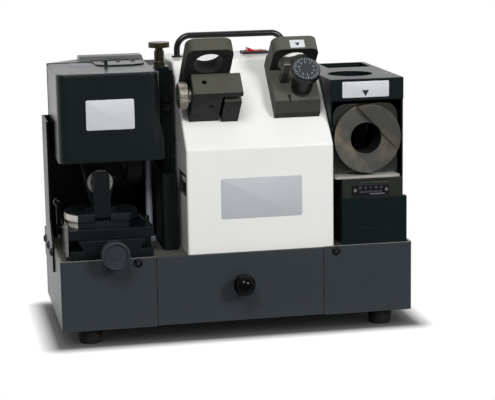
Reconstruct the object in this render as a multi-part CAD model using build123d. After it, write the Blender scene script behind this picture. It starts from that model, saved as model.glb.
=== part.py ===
from build123d import *
import os
from math import atan2, cos, degrees, radians, sin, tan

# Bench-top universal tool grinder. An end mill station stands on the left, a
# drill station on the right, and two setting gauges on the motor cover between.
# Millimetres. Pieces are laid out from the base's left front corner: x to the
# right, y to the rear, z up, with the deck's top at deck_level. The last lines
# move the machine so that its origin lies on the floor, under the middle of its
# box.

# Fits
run_play = 0.05         # radial play of a shaft in its bore
slide_play = 0.15       # play on each sliding face
part_gap = 0.3          # gap between pieces that pass each other
hole_play = 0.2         # radial play of a screw in a plain hole

# Base: a wrapped shell with a floor, a deck plate and two partitions
base_l = 440.0
base_d = 212.0
base_h = 87.0
deck_level = 96.0       # the stations are laid out up from here, the base down from it
base_wall = 3.0
base_corner = 4.0
floor_t = 4.0
deck_t = 6.0
rim_h = 3.0             # how far the walls stand above the deck
deck_edge_gap = 0.5     # keeps the deck clear of the drawer front
foot_h = 19.0
foot_r = 15.5
foot_taper = 1.5
foot_inset_x = 36.0
foot_inset_y = 22.0
foot_pocket_r = 6.0
foot_pocket_d = 6.0

# Layout along the base: hood, inner column, motor cover, then the drill station
hood_x = 6.5
hood_w = 125.0
hood_right = hood_x + hood_w
cover_x = hood_right + 26.5
drill_station_w = 98.0  # length that the drill station takes at the right
cover_right = base_l - drill_station_w
cover_w = cover_right - cover_x

# Domed screw heads on the edge of the deck
button_r = 5.5
button_h = 3.0
button_rim = 1.0
button_crown_r = 3.2
panel_screw_x = (94.5, base_l - 98.0)

# Drawer
drawer_x = 116.5        # left edge of the opening
drawer_w = base_l - 230.0
drawer_seam = 0.6
drawer_edge = 0.5       # small bevel round the drawer front
tray_wall = 1.5
tray_d = base_d - 47.0
tray_h = base_h - 31.0
tray_side_gap = 0.6
rail_t = 1.5
rail_w = 9.0
rail_h = 18.0
rail_lift = 5.0         # rail above the floor plate
rail_y = (8.0, base_d - 22.0)
drawer_knob_r = 13.5
drawer_knob_reach = 33.5
drawer_knob_h = 50.0    # above the bottom of the front panel
drawer_neck_r = 6.0
drawer_flange_r = 8.5
drawer_flange_t = 3.0
drawer_stud_r = 3.0
drawer_nut_r = 6.0
drawer_nut_t = 4.5

# Left side guard: a bent sheet on the outside of the base
guard_t = 2.5
guard_bottom = 70.0
guard_top = 256.0
guard_foot_y = (76.0, 188.0)
guard_y = (98.0, 163.5) # edges above the foot
guard_foot_h = 36.0
guard_slant_h = 26.0
guard_return = 50.0     # width of the return at its rear edge
guard_screw_y = (88.0, 130.0, 172.0)

# Cable gland in the rear wall
gland_x = base_l - 45.0
gland_z = 52.0
gland_hex_r = 11.0
gland_hex_t = 5.0
gland_dome_r = 9.0
gland_tip_r = 6.5
gland_reach = 18.0
gland_bore_r = 4.0
gland_shank_r = 8.0
gland_shank_l = 9.0

# Motor cover: upright front, slope and flat top
cover_front = 10.0
cover_back = base_d - 7.0
crease_z = 226.0
slope_run = 94.0
slope_rise = 99.0
cover_sheet = 2.0
cover_edge = 3.0        # rounding of the folded side edges
cover_fold = 5.0        # rounding of the folds across the front
shaft_hole_r = 15.0
vent_w = 90.0
vent_h = 4.0
vent_pitch = 10.0
vent_count = 6
vent_z = 160.0

# Carry handle of bent rod
handle_x = (cover_x + 14.0, cover_right - 30.0)
handle_y = 150.0
handle_r = 4.0
handle_rise = 27.0      # rod centre above the cover top
handle_bend = 17.0
handle_under = 8.0      # rod below the cover top
handle_collar_r = 7.0
handle_collar_t = 2.0

# Rocker switch
switch_x = cover_right - 66.0
switch_y = 165.0
bezel_l = 34.0
bezel_w = 24.0
bezel_t = 3.0
bezel_round = 3.0
switch_body_l = 29.0
switch_body_w = 20.0
switch_body_h = 20.0
rocker_l = 21.0
rocker_w = 14.0
rocker_low = 5.0        # depth below the rocker's pivot
rocker_high = 4.8       # height of its ends above the pivot
rocker_mid = 2.6        # height of its middle above the pivot
rocker_pivot_h = 1.5    # pivot above the cover top
rocker_tilt = 10.0
rocker_play = 1.1
rocker_pin_r = 1.0
rocker_pin_in = 1.5     # depth of the pin holes in the bezel's walls

# Motor and spindle
spindle_y = 110.0
spindle_z = 229.0
motor_r = 56.0
motor_x = (cover_x + 20.0, cover_right - 20.0)
bell_t = 8.0
bell_boss_r = 24.0
bell_boss_t = 6.0
bearing_r = 16.0
shaft_r = 8.0
rotor_gap = 1.0
cradle_x = (cover_x + 38.0, cover_right - 38.0)
cradle_plate_t = 8.0
cradle_half_w = 50.0
cradle_foot_t = 6.0
cradle_play = 0.1
cradle_top = 214.0
arbor_r = 6.0           # shaft ends that carry the wheels
fit_play = 0.03         # play of a wheel on its arbor

# Left wheel, for end mills, and right wheel, for drills
left_wheel_x = (hood_right - 37.5, hood_right - 19.5)
left_wheel_r = 55.0
left_rim_w = 11.0
right_wheel_x = (cover_right + 44.0, cover_right + 58.0)
right_wheel_r = 40.0
right_rim_w = 9.0
wheel_flange_r = 16.0
wheel_flange_t = 4.0
wheel_nut_r = 10.0
wheel_nut_t = 6.0
arbor_end = 2.0

# End mill station: dovetail slide along y
station_x = 65.0
slide_w = 101.0
slide_y = (12.0, 150.0)
slide_plate_t = 12.0
dovetail_h = 12.0
dovetail_top_w = 82.0
dovetail_angle = 60.0
screw_slot_w = 22.0
screw_slot_y = (26.0, 138.0)
screw_slot_floor = 2.0  # left under the screw slot
cross_t = 11.85
cross_w = 105.0
cross_y = (22.0, 128.0)
cross_leg_y = 46.0      # where its dovetail legs start
gib_t = 4.0
side_plate_t = 3.5
side_plate_y = (16.0, 120.0)
side_plate_bottom = 100.0
side_plate_top = 139.0

# Feed screw along y, its nut and its dished knob
feed_z = deck_level + 12.5
feed_r = 5.0
feed_tail_r = 4.0
feed_tail_l = 7.0
feed_collar_r = 8.0
feed_collar_t = 6.5
feed_nut_w = 18.0
feed_nut_y = (70.0, 90.0)
feed_nut_low = 0.8      # nut above the slot floor
knob_r = 17.0
knob_t = 15.0
knob_front = -27.0
knob_hub_r = 9.0
knob_hub_t = 6.0
knob_dish_r = 13.5
knob_dish_d = 2.5
knob_boss_r = 4.5
knob_socket = 8.0       # screw length inside the knob
knob_edge = 1.2

# Swivel ring and table, turning about z, each with a flat at the front
swivel_x = 58.0
swivel_y = 65.0
ring_r = 42.0
ring_t = 8.0
ring_flat_y = 37.0
table_r = 45.0
table_t = 8.8
table_gap = 0.2
table_edge = 1.0
table_flat_y = 33.0
pivot_r = 12.0

# Tool holder, its sleeve and the stop arm in front of it
holder_x = 57.0
sleeve_z = 185.0
sleeve_r = 15.5
sleeve_bore_r = 11.0
sleeve_y = (51.0, 86.0)
holder_y = (55.0, 81.0)
holder_top = 191.5
holder_top_w = 38.6
holder_neck_w = 17.0
holder_waist_w = 25.0
holder_waist_z = 162.0
holder_foot_w = 36.0
holder_foot_t = 4.0
rest_w = 2.8            # upright tooth rest on the holder's left
rest_h = 16.5
rest_lean = 3.3
rest_y = (58.0, 70.0)
arm_w = 19.6
arm_t = 11.0
arm_top = 199.0
arm_corner = 2.0
arm_pin_r = 2.0
arm_pin_in = 9.0        # pin length in the table at each end

# Slide lock at the front right corner of the cross slide
lock_hub_x = 110.0
lock_hub_y = 27.0
lock_hub_r = 3.4
lock_hub_h = 13.0
lock_stud_r = 2.0
lock_stud_in = 8.0
lock_lever_r = 1.3
lock_lever_l = 15.0
lock_lever_h = 4.5      # lever root above the slide
lock_lever_tilt = 48.0

# Clamp lever on the left of the cross slide
lever_y = 70.0
lever_rise = 5.85       # stud above the cross slide's underside
lever_hub_r = 7.0
lever_hub_t = 5.6
lever_rod_r = 2.5
lever_length = 34.0
lever_ball_r = 5.4
lever_stud_r = 4.0
lever_stud_in = 12.0    # stud length inside the slide

# Guide post
post_x = hood_right - 6.0
post_y = 112.0
post_r = 4.25
post_top = 210.0
post_dome = 1.5
post_foot_r = 7.5
post_foot_t = 5.0

# Wheel hood, hinged about x at its top rear edge
hood_flare = 4.5        # how far the lower right corner stands out
hood_flare_z = 236.0    # where the flare ends
hood_flare_h = 22.0
hood_y = (30.0, 157.5)
hood_z = (213.0, 321.0)
hood_wall = 3.0
hood_side_round = 12.0  # rounding of the upright front edges
hood_top_round = 2.5    # rounding of the top front edge
hood_notch_y = 98.0     # spindle notch in the right wall, open to the rear
hood_notch_z = 241.0
ear_x = hood_right + 19.5
ear_y = (80.0, 104.0)
ear_t = 3.7
ear_round = 4.0
stop_pin_x = 75.0
stop_pin_y = 104.0
stop_pin_r = 2.2
stop_pin_h = 9.0

# Hinge between hood and housing
hinge_y = 162.0
hinge_z = 320.5
hinge_r = 4.0
hinge_pin_r = 2.0
hinge_x = (hood_right - 67.5, hood_right - 5.5)
hinge_knuckle = 16.0
hinge_knuckle_gap = 0.6
hinge_leaf_t = 1.8
hood_leaf_y = 106.0     # front edge of the leaf on the hood
hood_leaf_round = 22.0
housing_leaf_l = 26.0   # length of the leaf on the housing

# Lock plunger on the hood's ear
lock_x = hood_right + 8.7
lock_y = 92.0
lock_flange_r = 7.0
lock_flange_t = 6.0
lock_barrel_r = 6.2
lock_barrel_h = 13.0
lock_bore_r = 4.8
lock_cap_t = 1.6
lock_floor_t = 1.6
lock_pin_r = 2.6
lock_pin_low = 313.0
lock_shoulder_r = 4.4
lock_shoulder_t = 2.0
lock_head_r = 13.0
lock_head_h = 6.5
lock_neck_r = 5.0
lock_neck_h = 4.0
lock_notches = 28
lock_notch_r = 0.9
lock_slot_w = 6.4
lock_slot_l = 11.0
lock_slot_d = 7.0
spring_r = 3.8
spring_wire = 0.8
spring_turns = 5
spring_sides = 10       # straight lengths in a turn

# Inner column between hood and cover
inner_x = (hood_right + 5.0, hood_right + 22.5)
inner_foot_x = (hood_right + 2.0, hood_right + 20.5)
inner_y = 45.0
inner_back = base_d - 7.0
inner_step_z = 192.0
inner_step_y = 75.0
inner_top = 317.0
inner_hole_r = 14.0
inner_edge = 2.0
bolt_r = 4.5
bolt_head_h = 5.0
bolt_socket_r = 2.3
bolt_z = (271.0, 283.0)

# Wheel housing behind the hood
housing_right = hood_right - 0.5
housing_y = (166.5, base_d - 3.5)
housing_corner = (53.0, 169.0)  # ends of the bevelled rear left corner, x and y
housing_low = 321.0
housing_top = 326.0
housing_lip_x = 50.0    # left edge of the raised lip on its top
housing_lip_run = 18.0  # depth of the lip's sloped front
housing_wall = 3.0

# Drill station column
column_x = (cover_right + 0.5, cover_right + 94.0)
column_y = (27.0, base_d - 3.5)
column_wall = 2.0
column_top_z = 300.0
column_top_t = 3.0
fascia_h = 24.0
cup_wall = 1.5
cup_depth = 25.0
cup_floor = 2.0
cup_x = cover_right + 41.0
cup_y = 83.0
cup_r = 28.5
pocket_x = (cover_right + 30.0, cover_right + 88.0)
pocket_y = (base_d - 60.0, base_d - 7.0)

# Angle head: swivel plate, block and cam disc, turning about z
head_x = cover_right + 46.5
head_y = 23.0
head_pin_r = 7.0
head_pin_l = 32.0
pedestal_x = (cover_right + 12.0, cover_right + 90.0)
pedestal_y = (14.0, 80.0)
pedestal_top = 179.6
groove_x = (cover_right + 35.0, cover_right + 71.0)   # groove across the pedestal's front
groove_z = (174.6, 177.4)
groove_d = 1.5
plate_t = 3.2
plate_shift = -1.6      # plate to the left of the pivot
plate_front_w = 85.0
plate_rear_w = 68.0
plate_y = (14.5, 56.0)
plate_round = 3.0
angle_block_y = (32.0, 56.0)
angle_block_w = 83.0
angle_rear_w = 72.0
angle_top = 271.0
angle_round = 16.0
disc_r = 42.6
disc_y = (14.0, 32.0)
disc_base_t = 10.0
chuck_r = 19.75
chuck_shift = -1.8      # bore to the left of the disc's middle
channel_w = 41.5
channel_shift = -3.2    # channel below the disc's middle
channel_tilt = 47.0     # fall of the channel, seen from the front
land_low = 1.2          # height of a land at its low end
land_high = 8.0
disc_edge = 0.8

# Point angle scale and the lower cover
scale_x = cover_right + 48.0
scale_w = 47.0
scale_h = 12.5
scale_t = 1.5
scale_bottom = 159.0
scale_screw_r = 1.9
scale_screw_h = 1.2
scale_screw_inset = 3.4
lower_x = (cover_right + 9.0, cover_right + 92.0)
lower_y = (3.6, 13.0)
lower_top = 157.3
lower_sheet = 2.0
emboss_r = 38.0
emboss_w = 1.6
emboss_d = 0.7

# End mill gauge on the slope: x across, s up the slope, n off it
mill_x = (cover_x + 9.0, cover_x + 70.0)
mill_s = (42.0, 73.0)
mill_n = 56.0
mill_edge = 1.0
mill_notch_x = cover_x + 45.0
mill_notch_s = 58.0
mill_notch_n = 49.0
mill_top_hole = (cover_x + 24.0, 60.0)
mill_end_hole = (cover_x + 33.0, 30.0)
mill_hole_r = 3.0
mill_hole_d = 12.0
mill_stop_x = (cover_x + 48.5, cover_x + 69.5)
mill_stop_s = 40.0
mill_stop_n = 41.0
mill_arch_w = 57.0
mill_arch_x = cover_x + 29.0
mill_arch_t = 18.0
mill_arch_n = 102.0
mill_bore_n = 76.0
mill_bore_r = 18.0
arch_round = 11.0
nut_s = 57.0
nut_n = 35.0
nut_x = (cover_x - 6.5, cover_x + 4.5)
nut_r = 16.0
nut_edge = 1.2
nut_collar_r = 9.0
nut_stud_r = 4.0
nut_stud_in = 12.0

# Drill gauge on the slope
drill_x = (cover_right - 68.0, cover_right - 11.0)
drill_s = (42.0, 124.0)
drill_end_n = 10.0
drill_n = 21.0
drill_arch_s = (100.0, 120.0)
drill_arch_n = 63.0
drill_bore_n = 36.0
trough_s = 90.0
mark_x = cover_right - 49.0   # point of the sunk index mark, a wedge
mark_s = (46.5, 62.0)
mark_w = 5.0
mark_d = 1.0
finger_x = (cover_right - 57.5, cover_right - 49.5)
finger_s = (80.0, 89.0)
finger_n = 56.0
finger_in = 6.0         # finger length inside the base
dial_x = cover_right - 32.4
dial_s = 71.0
dial_boss_r = 13.5
dial_boss_n = 23.0
dial_skirt_r = 13.0
dial_skirt_n = 51.0
dial_r = 17.6
dial_n = 61.0
dial_edge = 1.2
dial_stud_r = 4.0
dial_stud_n = 50.0

# Levels and lines worked out from the sizes above
deck_top = deck_level
base_top = deck_top + rim_h
base_bottom = base_top - base_h
deck_z = deck_top - deck_t
floor_top = base_bottom + floor_t
drawer_mid = drawer_x + drawer_w / 2
cover_top = crease_z + slope_rise
rail_z = floor_top + rail_lift
tray_z = rail_z + rail_t + part_gap
tray_x = (drawer_x + rail_t + tray_side_gap, drawer_x + drawer_w - rail_t - tray_side_gap)
edge_screw_z = deck_z + deck_t / 2
slide_top = deck_top + slide_plate_t
dovetail_top = slide_top + dovetail_h
dovetail_in = dovetail_h / tan(radians(dovetail_angle))
cross_z = dovetail_top + slide_play
cross_top = cross_z + cross_t
lever_z = cross_z + lever_rise
cross_x = (station_x - cross_w / 2, station_x + cross_w / 2)
ring_top = cross_top + ring_t
table_z = ring_top + table_gap
table_top = table_z + table_t
arm_y = table_flat_y + arm_t / 2
arm_z = table_z + part_gap + arm_t / 2
chuck_x = head_x + chuck_shift
lock_z = hood_z[1]
slope_angle = degrees(atan2(slope_rise, slope_run))
front_reach = drawer_knob_reach
rear_reach = gland_reach
left_reach = guard_t + button_h

# Directions and the slope's own axes
LEFT, RIGHT = (-1, 0, 0), (1, 0, 0)
FRONT, REAR = (0, -1, 0), (0, 1, 0)
DOWN, UP = (0, 0, -1), (0, 0, 1)
ON_END = (Align.CENTER, Align.CENTER, Align.MIN)
CORNER = (Align.MIN, Align.MIN, Align.MIN)
slope = Plane(
    origin=(0, cover_front, crease_z),
    x_dir=RIGHT,
    z_dir=(0, -sin(radians(slope_angle)), cos(radians(slope_angle))),
)


def block(x, y, z):
    """Box between three pairs of limits."""
    return Pos(x[0], y[0], z[0]) * Box(x[1] - x[0], y[1] - y[0], z[1] - z[0], align=CORNER)


def rod(axis, start, radius, length):
    """Cylinder that leaves a start point along an axis."""
    return Plane(start, z_dir=axis) * Cylinder(radius, length, align=ON_END)


def tube(axis, start, outer, inner, length):
    """Round tube that leaves a start point along an axis."""
    return rod(axis, start, outer, length) - rod(axis, start, inner, length)


def turned(axis, start, outline):
    """Turned body from (radius, distance along the axis) points."""
    section = Plane.XZ * make_face(Polyline(*outline, close=True))
    return Plane(start, z_dir=axis) * revolve(section, Axis.Z)


def front_prism(points, y, radii=0):
    """Outline of (x, z) points with rounded corners, between two y limits."""
    face = make_face(FilletPolyline(*points, radius=radii, close=True))
    return extrude(Plane.XZ.offset(-y[0]) * face, amount=y[1] - y[0], dir=REAR)


def side_prism(points, x, radii=0):
    """Outline of (y, z) points with rounded corners, between two x limits."""
    face = make_face(FilletPolyline(*points, radius=radii, close=True))
    return extrude(Plane.YZ.offset(x[0]) * face, amount=x[1] - x[0], dir=RIGHT)


def top_prism(points, z, radii=0):
    """Outline of (x, y) points with rounded corners, between two z limits."""
    face = make_face(FilletPolyline(*points, radius=radii, close=True))
    return extrude(Plane.XY.offset(z[0]) * face, amount=z[1] - z[0], dir=UP)


def screw_head(axis, seat):
    """Domed screw head that leaves its seat along an axis."""
    outline = [
        (0, 0),
        (button_r, 0),
        (button_r, button_rim),
        (button_crown_r, button_h),
        (0, button_h),
    ]
    return turned(axis, seat, outline)


def notched(radius, height, count, notch_r):
    """Grip cylinder on z with sharp notches cut along its edge."""
    grip = Cylinder(radius, height, align=ON_END)
    cutter = extrude(RegularPolygon(notch_r, 4), amount=height)
    return grip - [loc * cutter for loc in PolarLocations(radius, count)]


def foot_centres():
    """Places of the four feet on the floor."""
    xs = (foot_inset_x, base_l - foot_inset_x)
    ys = (foot_inset_y, base_d - foot_inset_y)
    return [(x, y) for x in xs for y in ys]


# Base and drawer


def base_shell():
    outer = block((0, base_l), (0, base_d), (base_bottom, base_top))
    outer = fillet(outer.edges().filter_by(Axis.Z), base_corner)
    inside_x = (base_wall, base_l - base_wall)
    inside_y = (base_wall, base_d - base_wall)
    shell = outer - block(inside_x, inside_y, (base_bottom, base_top))
    shell -= block((drawer_x, drawer_x + drawer_w), (0, base_wall), (base_bottom, base_top))
    for edge in (drawer_x - base_wall, drawer_x + drawer_w):
        shell += block((edge, edge + base_wall), inside_y, (floor_top, deck_z))
    shell -= rod(FRONT, (gland_x, base_d, gland_z), gland_shank_r + hole_play, base_wall)
    return shell


def base_floor():
    inside_x = (base_wall, base_l - base_wall)
    return block(inside_x, (base_wall + deck_edge_gap, base_d - base_wall), (base_bottom, floor_top))


def deck_plate():
    inside_x = (base_wall, base_l - base_wall)
    return block(inside_x, (base_wall + deck_edge_gap, base_d - base_wall), (deck_z, deck_top))


def rubber_feet():
    outline = [
        (0, foot_pocket_d),
        (foot_pocket_r, foot_pocket_d),
        (foot_pocket_r, 0),
        (foot_r - foot_taper, 0),
        (foot_r, foot_h),
        (0, foot_h),
    ]
    return Part() + [turned(UP, (x, y, base_bottom - foot_h), outline) for x, y in foot_centres()]


def case_screws():
    sides = [screw_head(LEFT, (-guard_t, y, edge_screw_z)) for y in guard_screw_y]
    fronts = [screw_head(FRONT, (x, 0, edge_screw_z)) for x in panel_screw_x]
    return Part() + sides + fronts + column_bolts()


def drawer_stud_hole():
    """Cutter for the knob's stud through drawer front and tray."""
    start = (drawer_mid, 0, base_bottom + drawer_knob_h)
    return rod(REAR, start, drawer_stud_r + hole_play, base_wall + tray_wall)


def drawer_front():
    x = (drawer_x + drawer_seam, drawer_x + drawer_w - drawer_seam)
    panel = block(x, (0, base_wall), (base_bottom + drawer_seam, base_top - drawer_seam))
    panel = chamfer(panel.faces().sort_by(Axis.Y)[0].edges(), drawer_edge)
    return panel - drawer_stud_hole()


def drawer_tray():
    y = (base_wall, base_wall + tray_d)
    tray = block(tray_x, y, (tray_z, tray_z + tray_h))
    inside_x = (tray_x[0] + tray_wall, tray_x[1] - tray_wall)
    tray -= block(inside_x, (y[0] + tray_wall, y[1] - tray_wall), (tray_z + tray_wall, tray_z + tray_h))
    return tray - drawer_stud_hole()


def drawer_knob():
    z = base_bottom + drawer_knob_h
    knob = Pos(drawer_mid, drawer_knob_r - drawer_knob_reach, z) * Sphere(drawer_knob_r)
    knob += rod(FRONT, (drawer_mid, 0, z), drawer_neck_r, drawer_knob_reach - drawer_knob_r)
    knob += rod(FRONT, (drawer_mid, 0, z), drawer_flange_r, drawer_flange_t)
    seat = base_wall + tray_wall
    knob += rod(REAR, (drawer_mid, 0, z), drawer_stud_r, seat + drawer_nut_t)
    nut_shape = RegularPolygon(drawer_nut_r, 6) - Circle(drawer_stud_r + fit_play)
    nut = extrude(nut_shape, amount=drawer_nut_t)
    return Part() + [knob, Plane((drawer_mid, seat, z), z_dir=REAR) * nut]


def drawer_rails():
    left = block((drawer_x, drawer_x + rail_t), rail_y, (rail_z, rail_z + rail_h))
    left += block((drawer_x, drawer_x + rail_w), rail_y, (rail_z, rail_z + rail_t))
    return Part() + [left, mirror(left, Plane.YZ.offset(drawer_mid))]


def left_side_guard():
    foot_top = guard_bottom + guard_foot_h
    outline = [
        (guard_foot_y[0], guard_bottom),
        (guard_foot_y[0], foot_top),
        (guard_y[0], foot_top + guard_slant_h),
        (guard_y[0], guard_top),
        (guard_y[1], guard_top),
        (guard_y[1], foot_top),
        (guard_foot_y[1], foot_top),
        (guard_foot_y[1], guard_bottom),
    ]
    sheet = side_prism(outline, (-guard_t, 0))
    rear = (guard_y[1] - guard_t, guard_y[1])
    return sheet + block((-guard_t, guard_return), rear, (base_top, guard_top))


def cable_gland():
    wall = (gland_x, base_d, gland_z)
    dome = [
        (gland_bore_r, 0),
        (gland_dome_r, 0),
        (gland_dome_r, (gland_reach - gland_hex_t) / 2),
        (gland_tip_r, gland_reach - gland_hex_t),
        (gland_bore_r, gland_reach - gland_hex_t),
    ]
    nut = extrude(RegularPolygon(gland_hex_r, 6) - Circle(gland_bore_r), amount=gland_hex_t)
    gland = Plane(wall, z_dir=REAR) * nut
    gland += turned(REAR, (gland_x, base_d + gland_hex_t, gland_z), dome)
    return gland + tube(FRONT, wall, gland_shank_r, gland_bore_r, gland_shank_l)


# Motor cover and what stands on it


def cover_outline():
    """Side view of the motor cover as (y, z) points, from its front foot."""
    slope_end = cover_front + slope_run
    return [
        (cover_front, deck_top),
        (cover_front, crease_z),
        (slope_end, cover_top),
        (cover_back, cover_top),
        (cover_back, deck_top),
    ]


def main_cover():
    x = (cover_x, cover_right)
    folds = [0, cover_fold, cover_fold, cover_fold, 0]
    cover = side_prism(cover_outline(), x, folds)
    rims = cover.faces().filter_by(Axis.X).edges()
    cover = fillet([edge for edge in rims if edge.center().Z > deck_top + cover_edge], cover_edge)
    outline = make_face(Polyline(*cover_outline(), close=True))
    room = offset(outline, -cover_sheet, kind=Kind.INTERSECTION)
    inner_face = Plane.YZ.offset(x[0] + cover_sheet)
    hollow = extrude(inner_face * room, amount=cover_w - 2 * cover_sheet, dir=RIGHT)
    cover -= hollow
    foot_y = (cover_front + cover_sheet, cover_back - cover_sheet)
    foot_x = (x[0] + cover_sheet, x[1] - cover_sheet)
    cover -= block(foot_x, foot_y, (deck_top, deck_top + 2 * cover_sheet))
    cover -= rod(RIGHT, (cover_x, spindle_y, spindle_z), shaft_hole_r, cover_w)
    middle = cover_x + cover_w / 2
    for row in range(vent_count):
        z = vent_z + row * vent_pitch
        vent_y = (cover_back - cover_sheet, cover_back)
        cover -= block((middle - vent_w / 2, middle + vent_w / 2), vent_y, (z, z + vent_h))
    top_z = (cover_top - cover_sheet, cover_top)
    half_l, half_w = switch_body_l / 2, switch_body_w / 2
    cover -= block((switch_x - half_l, switch_x + half_l), (switch_y - half_w, switch_y + half_w), top_z)
    for leg in handle_x:
        cover -= rod(DOWN, (leg, handle_y, cover_top), handle_r + hole_play, cover_sheet)
    return cover


def carry_handle():
    low, high = cover_top - handle_under, cover_top + handle_rise
    corners = [
        (handle_x[0], handle_y, low),
        (handle_x[0], handle_y, high),
        (handle_x[1], handle_y, high),
        (handle_x[1], handle_y, low),
    ]
    path = FilletPolyline(*corners, radius=handle_bend)
    handle = sweep(Plane(path @ 0, z_dir=path % 0) * Circle(handle_r), path)
    legs = [(x, handle_y, cover_top) for x in handle_x]
    return handle + [rod(UP, leg, handle_collar_r, handle_collar_t) for leg in legs]


def switch_bezel():
    plate = extrude(RectangleRounded(bezel_l, bezel_w, bezel_round), amount=bezel_t)
    body = Pos(0, 0, -switch_body_h) * Box(switch_body_l, switch_body_w, switch_body_h, align=ON_END)
    well_l, well_w = rocker_l + 2 * rocker_play, rocker_w + 2 * part_gap
    depth = rocker_low + rocker_l * sin(radians(rocker_tilt)) + part_gap
    well = Pos(0, 0, -depth) * Box(well_l, well_w, depth + bezel_t, align=ON_END)
    hole_l = well_w + 2 * rocker_pin_in
    holes = rod(REAR, (0, -hole_l / 2, rocker_pivot_h), rocker_pin_r + run_play, hole_l)
    return Pos(switch_x, switch_y, cover_top) * (plate + body - well - holes)


def switch_rocker():
    half = rocker_l / 2
    low_edge = [(-half, -rocker_low), (half, -rocker_low)]
    outline = low_edge + [(half, rocker_high), (0, rocker_mid), (-half, rocker_high)]
    rocker = front_prism(outline, (-rocker_w / 2, rocker_w / 2))
    pin_l = rocker_w + 2 * rocker_pin_in
    rocker += rod(REAR, (0, -pin_l / 2, 0), rocker_pin_r, pin_l)
    return Pos(switch_x, switch_y, cover_top + rocker_pivot_h) * Rot(0, rocker_tilt, 0) * rocker


# Motor and spindle


def motor_body():
    start = (motor_x[0], spindle_y, spindle_z)
    pieces = [tube(RIGHT, start, motor_r, shaft_r + rotor_gap, motor_x[1] - motor_x[0])]
    for x, axis in ((motor_x[0], LEFT), (motor_x[1], RIGHT)):
        outline = [
            (bearing_r, 0),
            (motor_r, 0),
            (motor_r - bell_t, bell_t),
            (bell_boss_r, bell_t),
            (bell_boss_r, bell_t + bell_boss_t),
            (bearing_r, bell_t + bell_boss_t),
        ]
        pieces.append(turned(axis, (x, spindle_y, spindle_z), outline))
    return Part() + pieces


def spindle_bearings():
    width = bell_t + bell_boss_t
    pieces = []
    for x, axis in ((motor_x[0], LEFT), (motor_x[1], RIGHT)):
        pieces.append(tube(axis, (x, spindle_y, spindle_z), bearing_r, shaft_r + run_play, width))
    return Part() + pieces


def motor_cradle():
    y = (spindle_y - cradle_half_w, spindle_y + cradle_half_w)
    cradle = block(cradle_x, y, (deck_top, deck_top + cradle_foot_t))
    for x in (cradle_x[0], cradle_x[1] - cradle_plate_t):
        cradle += block((x, x + cradle_plate_t), y, (deck_top, cradle_top))
    length = cradle_x[1] - cradle_x[0]
    return cradle - rod(RIGHT, (cradle_x[0], spindle_y, spindle_z), motor_r + cradle_play, length)


def spindle_shaft():
    left_end = left_wheel_x[0] - wheel_flange_t - wheel_nut_t - arbor_end
    right_end = right_wheel_x[1] + wheel_flange_t + wheel_nut_t + arbor_end
    shaft = rod(RIGHT, (left_end, spindle_y, spindle_z), arbor_r, right_end - left_end)
    length = right_wheel_x[0] - left_wheel_x[1]
    return shaft + rod(RIGHT, (left_wheel_x[1], spindle_y, spindle_z), shaft_r, length)


def wheel_hub(x, radius, rim_w):
    """Wheel hub between two x limits, inside its abrasive rim."""
    start = (x[0], spindle_y, spindle_z)
    return tube(RIGHT, start, radius - rim_w, arbor_r + fit_play, x[1] - x[0])


def wheel_rim(x, radius, rim_w):
    """Abrasive ring round a wheel hub."""
    return tube(RIGHT, (x[0], spindle_y, spindle_z), radius, radius - rim_w, x[1] - x[0])


def wheel_hubs():
    left = wheel_hub(left_wheel_x, left_wheel_r, left_rim_w)
    return Part() + [left, wheel_hub(right_wheel_x, right_wheel_r, right_rim_w)]


def wheel_rims():
    left = wheel_rim(left_wheel_x, left_wheel_r, left_rim_w)
    return Part() + [left, wheel_rim(right_wheel_x, right_wheel_r, right_rim_w)]


def wheel_clamps():
    bore = arbor_r + fit_play
    hexagon = extrude(RegularPolygon(wheel_nut_r, 6) - Circle(bore), amount=wheel_nut_t)
    pieces = []
    for x, axis in ((left_wheel_x[0], LEFT), (right_wheel_x[1], RIGHT)):
        pieces.append(tube(axis, (x, spindle_y, spindle_z), wheel_flange_r, bore, wheel_flange_t))
        pieces.append(Plane((x + axis[0] * wheel_flange_t, spindle_y, spindle_z), z_dir=axis) * hexagon)
    return Part() + pieces


# End mill station


def dovetail_outline(left_play, right_play):
    """Section of the dovetail as (x, z) points, grown on each flank."""
    half = dovetail_top_w / 2
    neck = half - dovetail_in
    return [
        (station_x - neck - left_play, slide_top),
        (station_x + neck + right_play, slide_top),
        (station_x + half + right_play, dovetail_top),
        (station_x - half - left_play, dovetail_top),
    ]


def slide_base():
    half = slide_w / 2
    base = block((station_x - half, station_x + half), slide_y, (deck_top, slide_top))
    base += front_prism(dovetail_outline(0, 0), slide_y)
    slot = (station_x - screw_slot_w / 2, station_x + screw_slot_w / 2)
    base -= block(slot, screw_slot_y, (deck_top + screw_slot_floor, dovetail_top))
    front = (station_x, slide_y[0], feed_z)
    base -= rod(REAR, front, feed_r + run_play, screw_slot_y[0] - slide_y[0])
    tail = (station_x, screw_slot_y[1], feed_z)
    return base - rod(REAR, tail, feed_tail_r + run_play, feed_tail_l + part_gap)


def lever_hole():
    """Cutter for the clamp stud through side plate and cross slide."""
    start = (cross_x[0] - side_plate_t, lever_y, lever_z)
    return rod(RIGHT, start, lever_stud_r + run_play, side_plate_t + lever_stud_in)


def cross_slide():
    slide = block(cross_x, cross_y, (cross_z, cross_top))
    legs = block(cross_x, (cross_leg_y, cross_y[1]), (slide_top + slide_play, cross_z))
    legs -= front_prism(dovetail_outline(slide_play, gib_t), (cross_leg_y, cross_y[1]))
    neck = station_x - dovetail_top_w / 2 - slide_play
    legs -= block((neck, station_x + dovetail_top_w / 2 + gib_t), cross_y, (dovetail_top, cross_z))
    stud = rod(DOWN, (lock_hub_x, lock_hub_y, cross_top), lock_stud_r + run_play, lock_stud_in + part_gap)
    return slide + legs - lever_hole() - stud


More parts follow.
